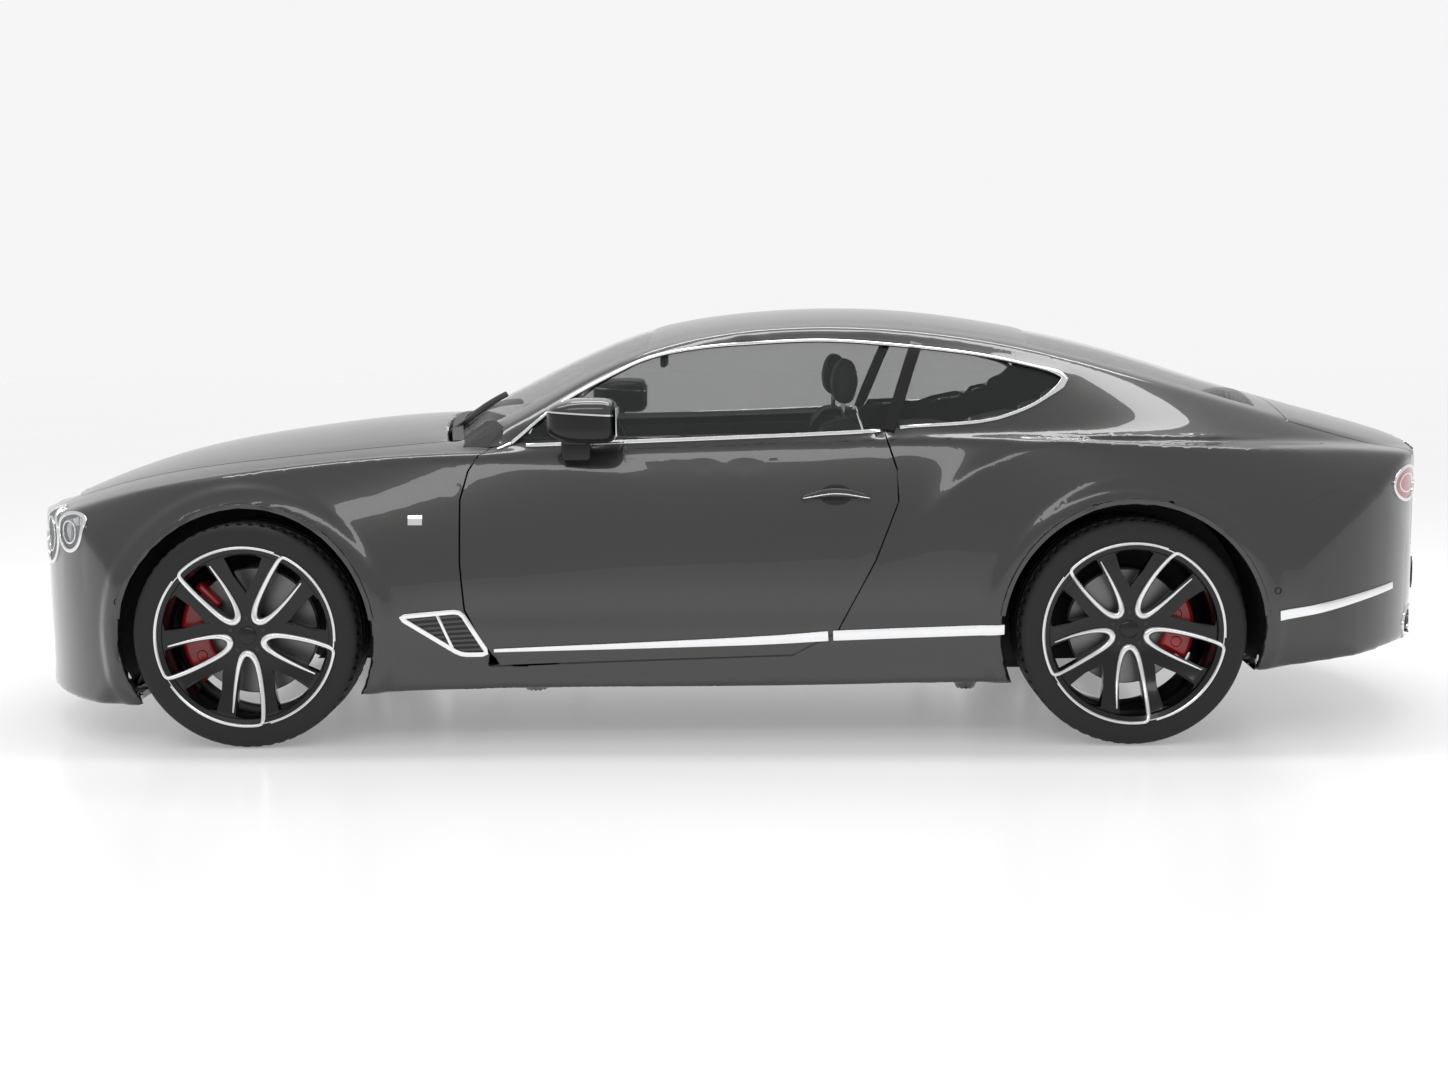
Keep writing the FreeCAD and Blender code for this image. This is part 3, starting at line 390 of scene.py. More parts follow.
def block(name, low, high, bevel=0.0, segments=3):
    """A box between two corners, with round edges."""
    (x0, y0, z0), (x1, y1, z1) = low, high
    obj = side_slab(name, [(x0, z0), (x1, z0), (x1, z1), (x0, z1)], y0, y1)
    if bevel:
        bevelled(obj, bevel, segments)
        smooth(obj)
    return obj


def bar(name, points, radius, shares):
    """A round bar along a smooth line. shares says how much of the radius each point has."""
    data = bpy.data.curves.new(name, "CURVE")
    data.dimensions = "3D"
    data.bevel_depth = radius
    data.bevel_resolution = 3
    data.use_fill_caps = True
    data.resolution_u = 6
    spline = data.splines.new("NURBS")
    spline.points.add(len(points) - 1)
    for point, place, share in zip(spline.points, points, shares):
        point.co = (*place, 1.0)
        point.radius = share
    spline.order_u = 3
    spline.use_endpoint_u = True
    obj = bpy.data.objects.new(name, data)
    bpy.context.collection.objects.link(obj)
    take(obj)
    bpy.ops.object.convert(target="MESH")
    return bpy.context.object


def joined(name, pieces):
    """One piece from several."""
    deselect()
    for piece in pieces:
        piece.select_set(True)
    bpy.context.view_layer.objects.active = pieces[0]
    bpy.ops.object.join()
    pieces[0].name = name
    return pieces[0]


def facing(obj, way):
    """Turns a surface over if its first face looks against way."""
    if obj.data.polygons[0].normal.dot(way) < 0.0:
        obj.data.flip_normals()


def ribbon(name, upper, lower, way):
    """A surface between two lines of points, which faces way."""
    surface = joined(name, [chain(name, upper), chain("edge", lower)])
    with editing(surface):
        bpy.ops.mesh.bridge_edge_loops()
        weld()
    facing(surface, way)
    return surface


# ---------------------------------------------------------------- stage, light and camera
def make_stage():
    bpy.ops.mesh.primitive_plane_add(size=60.0, location=(0.0, 10.0, 0.0))
    floor = settle(bpy.context.object)
    floor.name = "floor"
    sheet = Paint("studio_floor", Roughness=0.22, Specular_IOR_Level=0.5, Emission_Color=(1.0, 1.0, 1.0, 1.0),
                  Emission_Strength=0.27)
    cloud = sheet.noise(0.5, 2.0)
    sheet.varies(Base_Color=sheet.mix(cloud, (0.80, 0.80, 0.80), (0.84, 0.84, 0.84)))
    floor.data.materials.append(sheet.material)

    bpy.context.scene.view_settings.view_transform = "Standard"
    world = bpy.data.worlds.new("studio")
    bpy.context.scene.world = world
    world.use_nodes = True
    nodes, links = world.node_tree.nodes, world.node_tree.links
    back = nodes["Background"]
    path = nodes.new("ShaderNodeLightPath")
    seen = nodes.new("ShaderNodeMath")
    seen.operation = "MAXIMUM"
    links.new(path.outputs["Is Camera Ray"], seen.inputs[0])
    links.new(path.outputs["Is Transmission Ray"], seen.inputs[1])
    mix = nodes.new("ShaderNodeMix")
    mix.data_type = "FLOAT"
    mix.inputs[2].default_value = 0.70
    mix.inputs[3].default_value = 0.92
    links.new(seen.outputs[0], mix.inputs[0])
    links.new(mix.outputs[0], back.inputs["Strength"])
    back.inputs["Color"].default_value = (1.0, 1.0, 1.0, 1.0)


def make_lights():
    def panel(name, place, aim, size, power):
        bpy.ops.object.light_add(type="AREA", location=place)
        lamp = bpy.context.object
        lamp.name = name
        lamp.data.shape = "RECTANGLE"
        lamp.data.size, lamp.data.size_y = size
        lamp.data.energy = power
        lamp.rotation_euler = (Vector(aim) - Vector(place)).to_track_quat("-Z", "Y").to_euler()

    panel("ceiling_light", (0.0, 0.0, 4.6), (0.0, 0.0, 0.0), (7.0, 0.8), 110.0)
    panel("front_light", (-1.0, -6.0, 4.2), (0.0, 0.0, 0.5), (6.0, 1.0), 60.0)
    panel("rear_light", (1.0, 3.0, 5.4), (0.0, 0.0, 0.5), (6.0, 0.6), 80.0)


def make_camera():
    """Looks at the car's left side from a little above its middle."""
    place, yaw, pitch, roll, lens = (0.0677, -7.351, 1.394), -0.011, 0.1139, -0.0064, 50.2
    bpy.ops.object.camera_add(location=place)
    camera = bpy.context.object
    camera.data.lens = lens
    camera.data.sensor_width = 36.0
    turn = (Matrix.Rotation(-yaw, 4, "Z") @ Matrix.Rotation(math.pi / 2 - pitch, 4, "X")
            @ Matrix.Rotation(roll, 4, "Z"))
    camera.rotation_euler = turn.to_euler()
    bpy.context.scene.camera = camera


# ---------------------------------------------------------------- wheels
def corner_box(node):
    low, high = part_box(node)
    return Vector(low), Vector(high)


def wheel_facts(end):
    """Hub centre, tyre radius, bead radius, and the tyre's outer and inner y, of the left wheel."""
    low, high = corner_box("tyre_" + end + "_left")
    rim_low, rim_high = corner_box("rim_" + end + "_left")
    centre = (low + high) / 2
    return centre, (high.z - low.z) / 2, (rim_high.z - rim_low.z) / 2, low.y, high.y


ROUND = 120                  # steps round a wheel
GROOVES = 60                 # across each shoulder of the tyre


def make_tyre(end):
    centre, radius, bead, outer, inner = wheel_facts(end)
    half = (inner - outer) / 2
    side = [(0.000, 0.86), (0.004, 0.93), (0.010, 0.955), (0.022, 0.965), (0.040, 0.985), (0.060, 1.000)]
    edge = [(radius - 0.014, 0.965), (radius - 0.006, 0.90), (radius - 0.0015, 0.80)]
    wall = [(bead + up, share * half) for up, share in side] + [(r, share * half) for r, share in edge]
    tread = []
    for middle in (0.52, 0.18, -0.18, -0.52):
        a, b, depth = middle * half + 0.006, middle * half - 0.006, 0.007
        tread += [(radius, a), (radius - depth, a - 0.001), (radius - depth, b + 0.001), (radius, b)]
    mirror = [(r, -a) for r, a in reversed(wall)]
    outline = wall + tread + mirror + [(bead + 0.0005, -0.8 * half), (bead + 0.0005, 0.8 * half), wall[0]]
    tyre = turned("tyre", outline, centre, ROUND)

    def groove(face):
        middle = face.calc_center_median() - centre
        reach = math.hypot(middle.x, middle.z)
        share = abs(middle.y) / half
        turn = math.degrees(math.atan2(middle.z, middle.x)) % 360.0
        return reach > radius - 0.010 and 0.58 < share < 0.95 and abs(face.normal.y) < 0.8 \
            and int(turn / 360.0 * GROOVES * 2) % 2 == 0

    with editing(tyre):
        select(tyre, groove)
        bpy.ops.mesh.inset(thickness=0.0035, use_individual=False)
        bpy.ops.transform.resize(value=(0.984, 1.0, 0.984), center_override=centre)
    smooth(tyre, 30.0)
    return tyre


# The bright edge of a twin spoke in its own frame: sideways, outwards from the hub, and its share of EDGE_R
SPOKE_EDGE = [(-0.050, 0.249, 0.35), (-0.0475, 0.215, 0.55), (-0.0435, 0.170, 0.75), (-0.036, 0.122, 0.9),
              (-0.028, 0.090, 1.1), (-0.017, 0.066, 1.5), (0.0, 0.056, 1.7), (0.018, 0.066, 1.5),
              (0.031, 0.090, 1.25), (0.039, 0.122, 1.15), (0.047, 0.170, 1.1), (0.052, 0.215, 1.1),
              (0.0535, 0.252, 1.05), (0.053, 0.272, 1.0)]
EDGE_R = 0.0084
# Half of the opening between two twin spokes: its radius, and its angle off the middle
BETWEEN = [(0.150, 0.04), (0.200, 0.185), (0.262, 0.235), (0.270, 0.12)]
RING_R = 0.291
LOOPS = 5                    # twin spokes
BOLT_R = 0.056
DISH = {"front": 0.030, "rear": 0.085}


def polar(radius, angle):
    return radius * math.cos(angle), radius * math.sin(angle)


def loop_turn(k):
    """The angle of twin spoke k; the first looks down."""
    return math.radians(270.0) + k * math.tau / LOOPS


def loop_point(k, sideways, outwards):
    """A point of twin spoke k in the wheel's plane, seen from the car's left: x to the tail, z up."""
    a = loop_turn(k)
    return outwards * math.cos(a) - sideways * math.sin(a), outwards * math.sin(a) + sideways * math.cos(a)


def face_depth(radius, dish):
    """How far inside the wheel's outer face the spokes stand: by dish at the hub, and less further out."""
    share = min(max((radius - 0.05) / 0.23, 0.0), 1.0)
    return dish * (1.0 - share ** 2.2)


def make_rim(end):
    """The left rim's barrel and web, its bright edges, its cap and its bolts, each with its material."""
    centre, _, bead, outer, inner = wheel_facts(end)
    dish, wide, face = DISH[end], inner - outer, outer + 0.007

    def at(y):
        return centre.x, y, centre.z

    barrel = turned("rim_barrel", [
        (bead + 0.006, 0.000), (bead + 0.007, 0.004), (bead + 0.002, 0.010), (bead - 0.003, 0.014),
        (bead - 0.003, wide - 0.022), (bead + 0.005, wide - 0.014), (bead + 0.004, wide - 0.010),
        (bead - 0.012, wide - 0.016), (bead - 0.018, wide - 0.06), (bead - 0.018, 0.030),
        (bead - 0.008, 0.006), (bead + 0.006, 0.000)], at(face - 0.002), ROUND)
    steps = 12
    outline = []
    for n in range(steps + 1):
        r = bead - 0.010 - (bead - 0.026) * n / steps
        outline.append((r, face_depth(r, dish)))
    outline += [(r, depth + 0.034) for r, depth in reversed(outline)]
    outline.append(outline[0])
    web = turned("rim_web", outline, at(face + 0.004), ROUND)

    def opening(points):
        points = [(centre.x + x, centre.z + z) for x, z in points]
        tool = side_slab("window", points, face - 0.05, face + 0.30)
        modify(web, "BOOLEAN", operation="DIFFERENCE", object=tool, solver="EXACT")
        bpy.data.objects.remove(tool)

    for k in range(LOOPS):
        opening([loop_point(k, -0.040, 0.262)]
                + [loop_point(k, u * 0.80, v + 0.010) for u, v, _ in SPOKE_EDGE[1:]])
        a = loop_turn(k + 0.5)
        opening([polar(r, a - turn) for r, turn in BETWEEN] + [polar(0.271, a)]
                + [polar(r, a + turn) for r, turn in reversed(BETWEEN)] + [polar(0.138, a)])
    bevelled(web, 0.004, 2, 50.0)
    rim = joined("rim", [barrel, web])
    smooth(rim, 40.0)

    edges = []
    for k in range(LOOPS):
        points, shares = [], []
        for u, v, share in SPOKE_EDGE:
            x, z = loop_point(k, u * 0.96, v)
            depth = face_depth(math.hypot(x, z), dish)
            points.append((centre.x + x, face + 0.002 + depth, centre.z + z))
            shares.append(share)
        corner = loop_point(k, 0.051, 0.2865)
        start = math.atan2(corner[1], corner[0])
        for n in range(12):
            x, z = polar(RING_R, start - math.radians(1.0 + n * 6.0))
            points.append((centre.x + x, face - 0.002, centre.z + z))
            shares.append(0.75 - 0.04 * n)
        edges.append(bar("edge", points, EDGE_R, shares))
    bright = joined("rim_edges", edges)
    smooth(bright, 60.0)
    lip = turned("rim_lip", [(bead + 0.0065, 0.0), (bead + 0.0085, -0.0012), (bead + 0.0105, 0.0004),
                             (bead + 0.0085, 0.002), (bead + 0.0065, 0.0)], at(face - 0.003), ROUND)
    smooth(lip)
    bright = joined("rim_edges", [bright, lip])

    hub_y = face + face_depth(0.05, dish)
    cap = turned("hub_cap", [(0.0001, -0.004), (0.018, -0.0035), (0.026, -0.001), (0.030, 0.002),
                             (0.031, 0.008), (0.031, 0.030), (0.0001, 0.030)], at(hub_y), 48)
    smooth(cap)
    bolt = [(0.0001, 0.0), (0.007, 0.0), (0.0085, 0.002), (0.0095, 0.010), (0.0095, 0.022), (0.0001, 0.022)]
    bolts = []
    for k in range(LOOPS):
        x, z = polar(BOLT_R, loop_turn(k + 0.5))
        bolts.append(turned("bolt", bolt, (centre.x + x, hub_y + 0.002, centre.z + z), 6))
    bolts = joined("wheel_bolts", bolts)
    smooth(bolts, 20.0)
    return {"rim": (rim, "gloss_black"), "rim_edges": (bright, "machined"), "hub_cap": (cap, "gloss_black"),
            "wheel_bolts": (bolts, "dark_steel")}


def disc_facts(end):
    """The left brake disc's centre, its radius, and its outer and inner y."""
    low, high = corner_box("brake_disc_" + end + "_left")
    return (low + high) / 2, (high.z - low.z) / 2, low.y, high.y


def make_disc(end):
    centre, radius, outer, inner = disc_facts(end)
    thick = inner - outer
    plate = thick * 0.38
    disc = turned("disc", [
        (0.060, 0.0), (0.085, 0.0), (0.100, 0.001), (radius - 0.004, 0.001), (radius - 0.001, 0.003),
        (radius - 0.001, plate), (radius - 0.012, plate + 0.001), (radius - 0.012, thick - plate),
        (radius - 0.001, thick - plate + 0.001), (radius - 0.001, thick - 0.002), (radius - 0.003, thick),
        (0.060, thick), (0.060, 0.0)], (centre.x, outer, centre.z))
    smooth(disc, 30.0)
    return disc


CALIPER = {"front": (180.0, 45.0), "rear": (0.0, 29.0)}    # degrees: its middle, and half of its sweep


def make_caliper(end):
    """A bridge over the disc with a raised outer face and three round bulges on it."""
    centre, radius, outer, inner = disc_facts(end)
    lead, sweep = CALIPER[end]
    inner_r, outer_r = radius - 0.071, radius + 0.026
    front_y, back_y = outer - 0.032, inner + 0.026
    turns = [math.radians(lead + sweep * (n / 6 - 1.0)) for n in range(13)]
    outline = [polar(outer_r, turn) for turn in turns] + [polar(inner_r, turn) for turn in reversed(turns)]
    body = side_slab("caliper", [(centre.x + x, centre.z + z) for x, z in outline], front_y, back_y)
    with editing(body):
        select(body, lambda face: face.normal.y < -0.9)
        bpy.ops.mesh.inset(thickness=0.012)
        bpy.ops.transform.translate(value=(0.0, -0.008, 0.0))
    bevelled(body, 0.004, degrees=25.0)
    pieces = [body]
    for share in (-0.55, 0.0, 0.55):
        x, z = polar((inner_r + outer_r) / 2 - 0.004, math.radians(lead + share * sweep))
        pieces.append(turned("bulge", [(0.0001, -0.006), (0.015, -0.005), (0.021, 0.0), (0.023, 0.010),
                                       (0.0001, 0.010)], (centre.x + x, front_y - 0.006, centre.z + z), 32))
    caliper = joined("caliper", pieces)
    smooth(caliper, 35.0)
    return caliper


def make_wheels():
    stands_for = {"tyre": "tyre_", "rim": "rim_", "disc": "brake_disc_"}
    for end in ENDS:
        pieces = {"tyre": (make_tyre(end), "tyre_rubber"), "disc": (make_disc(end), "brake_iron")}
        pieces.update(make_rim(end))
        for key, (piece, material) in pieces.items():
            node = stands_for[key] + end + "_" if key in stands_for else None
            side_pair(key + "_" + end, piece, material, "wheel_" + end + "_", node)
        holder = "steering_" if end == "front" else "body"
        side_pair("caliper_" + end, make_caliper(end), "caliper_red", holder)


# ---------------------------------------------------------------- the form that the painted panels follow
PANELS = {"front_wings": "body", "front_bumper": "body", "bonnet": "bonnet", "roof": "body",
          "body_side_left": "body", "body_side_right": "body", "rear_bumper": "body", "boot_lid": "boot_lid",
          "door_left": "door_left", "door_right": "door_right"}
LEAST_OUTWARD = 0.05         # a face of the form whose normal leaves the car's middle by less is inside
FORM_NODES = list(PANELS) + ["grilles", "windscreen", "rear_window", "headlamps", "tail_lamps"]
CLOSING = 0.005              # the panels swell by this to close their gaps, and shrink back
VOXEL = 0.010
# Lines of the body in side view, x and z: the haunch over the rear wheel and the wing's line into the door
HAUNCH = [(0.50, 0.50), (0.56, 0.60), (0.65, 0.750), (0.72, 0.822), (0.80, 0.882), (0.92, 0.937),
          (1.06, 0.964), (1.28, 0.973), (1.60, 0.962), (1.85, 0.928), (2.10, 0.880)]
WING_LINE = [(-2.10, 0.800), (-1.95, 0.856), (-1.70, 0.900), (-1.40, 0.924), (-1.09, 0.930), (-0.80, 0.922),
             (-0.50, 0.898), (-0.10, 0.850)]


def ease(value, low, high):
    """0 at low, 1 at high, with a smooth step between."""
    share = min(max((value - low) / (high - low), 0.0), 1.0)
    return share * share * (3.0 - 2.0 * share)


def off_line(line, x, z):
    """How far a point lies to the right of a line's direction, in side view."""
    best, side = 9.0, 1.0
    for (x0, z0), (x1, z1) in zip(line, line[1:]):
        dx, dz = x1 - x0, z1 - z0
        share = min(max(((x - x0) * dx + (z - z0) * dz) / (dx * dx + dz * dz), 0.0), 1.0)
        gap = math.hypot(x - x0 - share * dx, z - z0 - share * dz)
        if gap < best:
            best, side = gap, 1.0 if (x - x0) * dz - (z - z0) * dx > 0 else -1.0
    return best * side


def ridge(offset, below, above, crest=0.010):
    """1 on the line, falling away over the widths below and above it."""
    reach = math.hypot(offset, crest) - crest
    return math.exp(-reach / (below if offset > 0 else above))


def flare(x, z):
    """The raised flange round each wheel arch."""
    out = 0.0
    for end in ENDS:
        centre = HUBS[end]
        out = max(out, 1.0 - ease(math.hypot(x - centre.x, z - centre.z), 0.455, 0.495))
    return out


def relief(x, z):
    """How far the body's side stands out from its plain form, in metres."""
    out = 0.009 * flare(x, z)
    if 0.3 < x < 2.2:
        tall = ease(x, 0.52, 0.80) * (1.0 - ease(x, 1.45, 2.05))
        out += 0.015 * tall * ridge(off_line(HAUNCH, x, z), 0.17, 0.035)
    if -2.2 < x < 0.1:
        tall = ease(x, -2.12, -1.75) * (1.0 - ease(x, -0.70, -0.15))
        out += 0.006 * tall * ridge(off_line(WING_LINE, x, z), 0.12, 0.03)
    hollow = math.exp(-((z - 0.44) / 0.045) ** 2) * ease(x, -1.05, -0.85) * (1.0 - ease(x, 0.72, 0.90))
    return out - 0.006 * hollow


def softness(place):
    """How much the form is rounded there: fully at the nose and tail, and hardly at the belt."""
    nose = 1.0 - ease(place.x, -2.05, -1.75)
    tail = ease(place.x, 1.95, 2.15)
    bonnet = ease(place.z, 0.80, 0.88) * (1.0 - ease(place.x, -1.20, -0.95))
    cabin = 0.7 * ease(place.z, 0.87, 0.93)
    return max(nose * 0.8, tail * 0.55, bonnet, cabin)


# ---------------------------------------------------------------- lines on the body in side view, x and z
WINDOW_TOP = [(-0.690, 0.975), (-0.540, 1.096), (-0.375, 1.187), (-0.243, 1.245), (-0.080, 1.276),
              (0.117, 1.291), (0.335, 1.297), (0.573, 1.280), (0.835, 1.248), (1.030, 1.206), (1.105, 1.180)]
WINDOW_TAIL = [(1.098, 1.186), (1.118, 1.170), (1.100, 1.146), (1.012, 1.092), (0.916, 1.056), (0.820, 1.036),
               (0.564, 1.020)]
BELT = [(0.506, 1.010), (0.243, 0.999), (-0.080, 0.988), (-0.401, 0.977), (-0.640, 0.969)]
POST = [(0.528, 1.012), (0.590, 1.180), (0.632, 1.288)]
SILL_DOOR = [(-0.745, 0.318), (-0.300, 0.331), (0.100, 0.346), (0.330, 0.360)]
SILL_BODY = [(0.345, 0.361), (0.600, 0.370), (0.889, 0.380)]
TAIL_STRIP = [(1.765, 0.424), (1.900, 0.444), (2.050, 0.470), (2.184, 0.491)]
VENT = [(-1.046, 0.432), (-0.850, 0.447), (-0.762, 0.306), (-0.850, 0.306)]
SLANT = 0.377                # how far the window post leans back for each metre it rises
COWL = [(-0.790, -0.655, 1.036), (-0.815, -0.640, 1.018), (-0.845, -0.644, 1.000), (-0.865, -0.685, 0.978),
        (-0.850, -0.792, 0.960), (-0.770, -0.822, 0.962), (-0.700, -0.836, 0.966), (-0.698, -0.812, 0.982),
        (-0.712, -0.786, 1.002), (-0.722, -0.766, 1.024), (-0.750, -0.706, 1.040)]


def height(line, x):
    """How high a side-view line is at one x."""
    line = sorted(line)
    for (x0, z0), (x1, z1) in zip(line, line[1:]):
        if x <= x1:
            return z0 + (z1 - z0) * (x - x0) / (x1 - x0)
    return line[-1][1]


def window_top(x):
    return height(WINDOW_TOP, x)


def window_foot(x):
    return height(BELT if x < 0.53 else WINDOW_TAIL[1:], x)


def sheet(name, columns, rows, place):
    """A grid of faces laid out by place(u, v), where u and v go from 0 to 1."""
    deselect()
    bpy.ops.mesh.primitive_grid_add(x_subdivisions=columns, y_subdivisions=rows, size=1.0)
    obj = settle(bpy.context.object)
    obj.name = name
    for point in obj.data.vertices:
        point.co = place(point.co.x + 0.5, point.co.y + 0.5)
    return obj


def window_filler():
    """A skin across the side windows from the panels below them to those above, for the form alone."""
    nodes = [frame["nodes"][name] for name in ("body_side_left", "door_left")]
    around = joined("around", [copied(node, "around") for node in nodes])
    tree = surface_of(around)
    bpy.data.objects.remove(around)
    columns, rows = 72, 8
    start, length = -0.685, 1.815
    tries, reach = 14, 0.95

    def edge(x, z, step):
        """The panel's edge, looked for from z upwards or downwards."""
        for n in range(tries):
            hit = tree.ray_cast(Vector((x, -1.4, z + step * n)), Vector((0.0, 1.0, 0.0)), reach)[0]
            if hit is not None:
                return hit + Vector((0.0, 0.0, step * 0.8))
        return None

    ends = []
    for n in range(columns + 1):
        x = start + length * n / columns
        low, high = edge(x, window_foot(x), -0.005), edge(x, window_top(x), 0.005)
        ends.append((low, high) if low and high else ends[-1])

    def place(u, v):
        low, high = ends[round(u * columns)]
        bulge = 0.178 * (high.z - low.z) ** 2 * 4.0 * v * (1.0 - v)
        return low.lerp(high, v) + Vector((0.0, 0.006 - bulge, 0.0))

    filler = sheet("filler", columns, rows, place)
    thickened(filler, 0.012)
    corner = cowl_patch(0.006, 0.012)
    left = joined("filler", [filler, corner])
    return joined("filler", [left, mirrored(left, "filler")])


def cowl_patch(inward, thick):
    """The small corner between windscreen, wing and door glass."""
    patch = chain("cowl_corner", [Vector(p) + Vector((0.0, inward, -inward * 0.5)) for p in COWL + COWL[:1]])
    with editing(patch):
        weld(0.0001)
        bpy.ops.mesh.edge_face_add()
        bpy.ops.mesh.quads_convert_to_tris()
    thickened(patch, thick)
    return patch


def body_form():
    form = joined("form", [copied(frame["nodes"][name], "form") for name in FORM_NODES] + [window_filler()])
    with editing(form):
        weld()
    modify(form, "DISPLACE", strength=CLOSING, mid_level=0.0)
    modify(form, "REMESH", mode="VOXEL", voxel_size=VOXEL, use_smooth_shade=True)
    modify(form, "DISPLACE", strength=-CLOSING, mid_level=0.0)
    modify(form, "SMOOTH", factor=0.5, iterations=8)
    soft = form.vertex_groups.new(name="soft")
    for point in form.data.vertices:
        weight = softness(point.co)
        if weight > 0.01:
            soft.add([point.index], weight, "REPLACE")
    modify(form, "SMOOTH", factor=0.5, iterations=36, vertex_group="soft")
    tree = surface_of(form)

    def buried(face):
        """Inside the car: it looks towards its middle, or at another face."""
        place = face.calc_center_median()
        middle = Vector((min(max(place.x, -1.9), 1.9), 0.0, 0.55))
        if face.normal.dot((place - middle).normalized()) < LEAST_OUTWARD:
            return True
        return tree.ray_cast(place + face.normal * 0.004, face.normal, 4.0)[0] is not None

    with editing(form):
        select(form, buried)
        bpy.ops.mesh.delete(type="FACE")
    plain = surface_of(form)
    normals = [point.normal.copy() for point in form.data.vertices]
    for point, normal in zip(form.data.vertices, normals):
        turned_out = ease(abs(normal.y), 0.25, 0.55)
        if turned_out > 0.0 and point.co.y * normal.y > 0.0:
            point.co += normal * relief(point.co.x, point.co.z) * turned_out
    modify(form, "SMOOTH", factor=0.5, iterations=2)
    smooth(form, 180.0)
    return form, plain


def surface_of(obj):
    return BVHTree.FromPolygons([v.co for v in obj.data.vertices], [p.vertices for p in obj.data.polygons])


EDGE_LIMIT = 0.022           # the longest edge of a painted face
MOST_SPLITS = 9              # rounds of splitting the edges that are longer
NEAR_FORM = 0.014            # an outer face is this near to the form,
LIKE_FORM = 0.45             # and its normal agrees with the form's by this
MOST_RISE = 0.045            # how far a point may be drawn to the form


def panel_skin(node, form, plain, tree):
    """A copy of a CAD panel whose outer faces are drawn onto the form and take its normals."""
    panel = copied(frame["nodes"][node], node + "_skin")
    panel.data.materials.clear()
    with editing(panel):
        weld()
    for name in ("body_paint", "cabin_trim"):
        panel.data.materials.append(MATERIALS[name])
    outer_faces = set()
    for face in panel.data.polygons:
        _, normal, _, gap = plain.find_nearest(face.center)
        if gap < NEAR_FORM and normal.dot(face.normal) > LIKE_FORM:
            outer_faces.add(face.index)
        face.material_index = 0 if face.index in outer_faces else 1

    def too_long(edge):
        return edge.calc_length() > EDGE_LIMIT and any(face.material_index == 0 for face in edge.link_faces)

    for _ in range(MOST_SPLITS):
        with editing(panel):
            select(panel, too_long, "edges")
            if not any(edge.select for edge in bmesh.from_edit_mesh(panel.data).edges):
                break
            bpy.ops.mesh.subdivide(number_cuts=1)
    outward = {}
    for face in panel.data.polygons:
        if face.material_index == 0:
            for index in face.vertices:
                outward[index] = outward.get(index, Vector()) + face.normal * face.area
    panel.vertex_groups.new(name="outer").add(list(outward), 1.0, "REPLACE")
    for index, normal in outward.items():
        point, normal = panel.data.vertices[index], normal.normalized()
        rise = (tree.find_nearest(point.co)[0] - point.co).dot(normal)
        point.co += normal * max(min(rise, MOST_RISE), -MOST_RISE)
    for face in panel.data.polygons:
        face.material_index = 0
    smooth(panel, 40.0)
    modify(panel, "DATA_TRANSFER", object=form, use_loop_data=True, data_types_loops={"CUSTOM_NORMAL"},
           loop_mapping="POLYINTERP_NEAREST", vertex_group="outer")
    panel.vertex_groups.clear()
    return panel


def make_body():
    form, plain = body_form()
    tree = surface_of(form)
    for node, body in PANELS.items():
        panel = panel_skin(node, form, plain, tree)
        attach(panel, body)
        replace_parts(panel, node)
    bpy.data.objects.remove(form)
    return tree


# ---------------------------------------------------------------- what lies along the lines on the body
def flowing(points, step=0.025):
    """Even points on a smooth line through the given ones."""
    points = [Vector(p) for p in points]
    ends = [2 * points[0] - points[1]] + points + [2 * points[-1] - points[-2]]
    line = []
    for a, b, c, d in zip(ends, ends[1:], ends[2:], ends[3:]):
        count = max(1, round((c - b).length / step))
        for n in range(count):
            t = n / count
            line.append(0.5 * (2 * b + (c - a) * t + (2 * a - 5 * b + 4 * c - d) * t ** 2
                               + (3 * b - a - 3 * c + d) * t ** 3))
    return line + [points[-1]]


LOOKS = {                    # where a ray starts for two numbers, its way, and how far it may go
    "side": (lambda a, b: (a, -1.4, b), (0.0, 1.0, 0.0), 0.85),
    "front": (lambda a, b: (-3.0, a, b), (1.0, 0.0, 0.0), 1.3),
    "rear": (lambda a, b: (3.0, a, b), (-1.0, 0.0, 0.0), 1.3),
    "top": (lambda a, b: (a, b, 2.0), (0.0, 0.0, -1.0), 1.4),
}
PAST_GAP = 0.3               # how far before its limit a ray that met a gap looks for the nearest surface


def on_skin(a, b, look="side"):
    """The outer surface at a place seen from one side, and its outward normal."""
    place, way, limit = LOOKS[look]
    start, way = Vector(place(a, b)), Vector(way)
    hit, normal, _, depth = SKIN.ray_cast(start, way)
    if hit is None or depth > limit:
        hit, normal, _, _ = SKIN.find_nearest(start + way * (limit - PAST_GAP))
    return hit, normal


def trim_strip(name, line, width, thick, lift=0.001, closed=False, look="side"):
    """A strip lying on the body along points seen from look. width is one number, or one for each point."""
    places = [on_skin(a, b, look) for a, b in line]
    count = len(places)
    widths = width if isinstance(width, list) else [width] * count
    upper, lower = [], []
    for n, (place, normal) in enumerate(places):
        after = places[(n + 1) % count if closed else min(n + 1, count - 1)][0]
        before = places[n - 1 if closed else max(n - 1, 0)][0]
        across = (after - before).cross(normal).normalized() * widths[n] / 2
        upper.append(place + normal * (lift + thick) + across)
        lower.append(place + normal * (lift + thick) - across)
    if closed:
        upper, lower = upper + upper[:1], lower + lower[:1]
    strip = ribbon(name, upper, lower, places[0][1])
    thickened(strip, thick + lift + 0.003, -1.0)
    bevelled(strip, min(thick, min(widths)) * 0.35)
    smooth(strip, 50.0)
    return strip


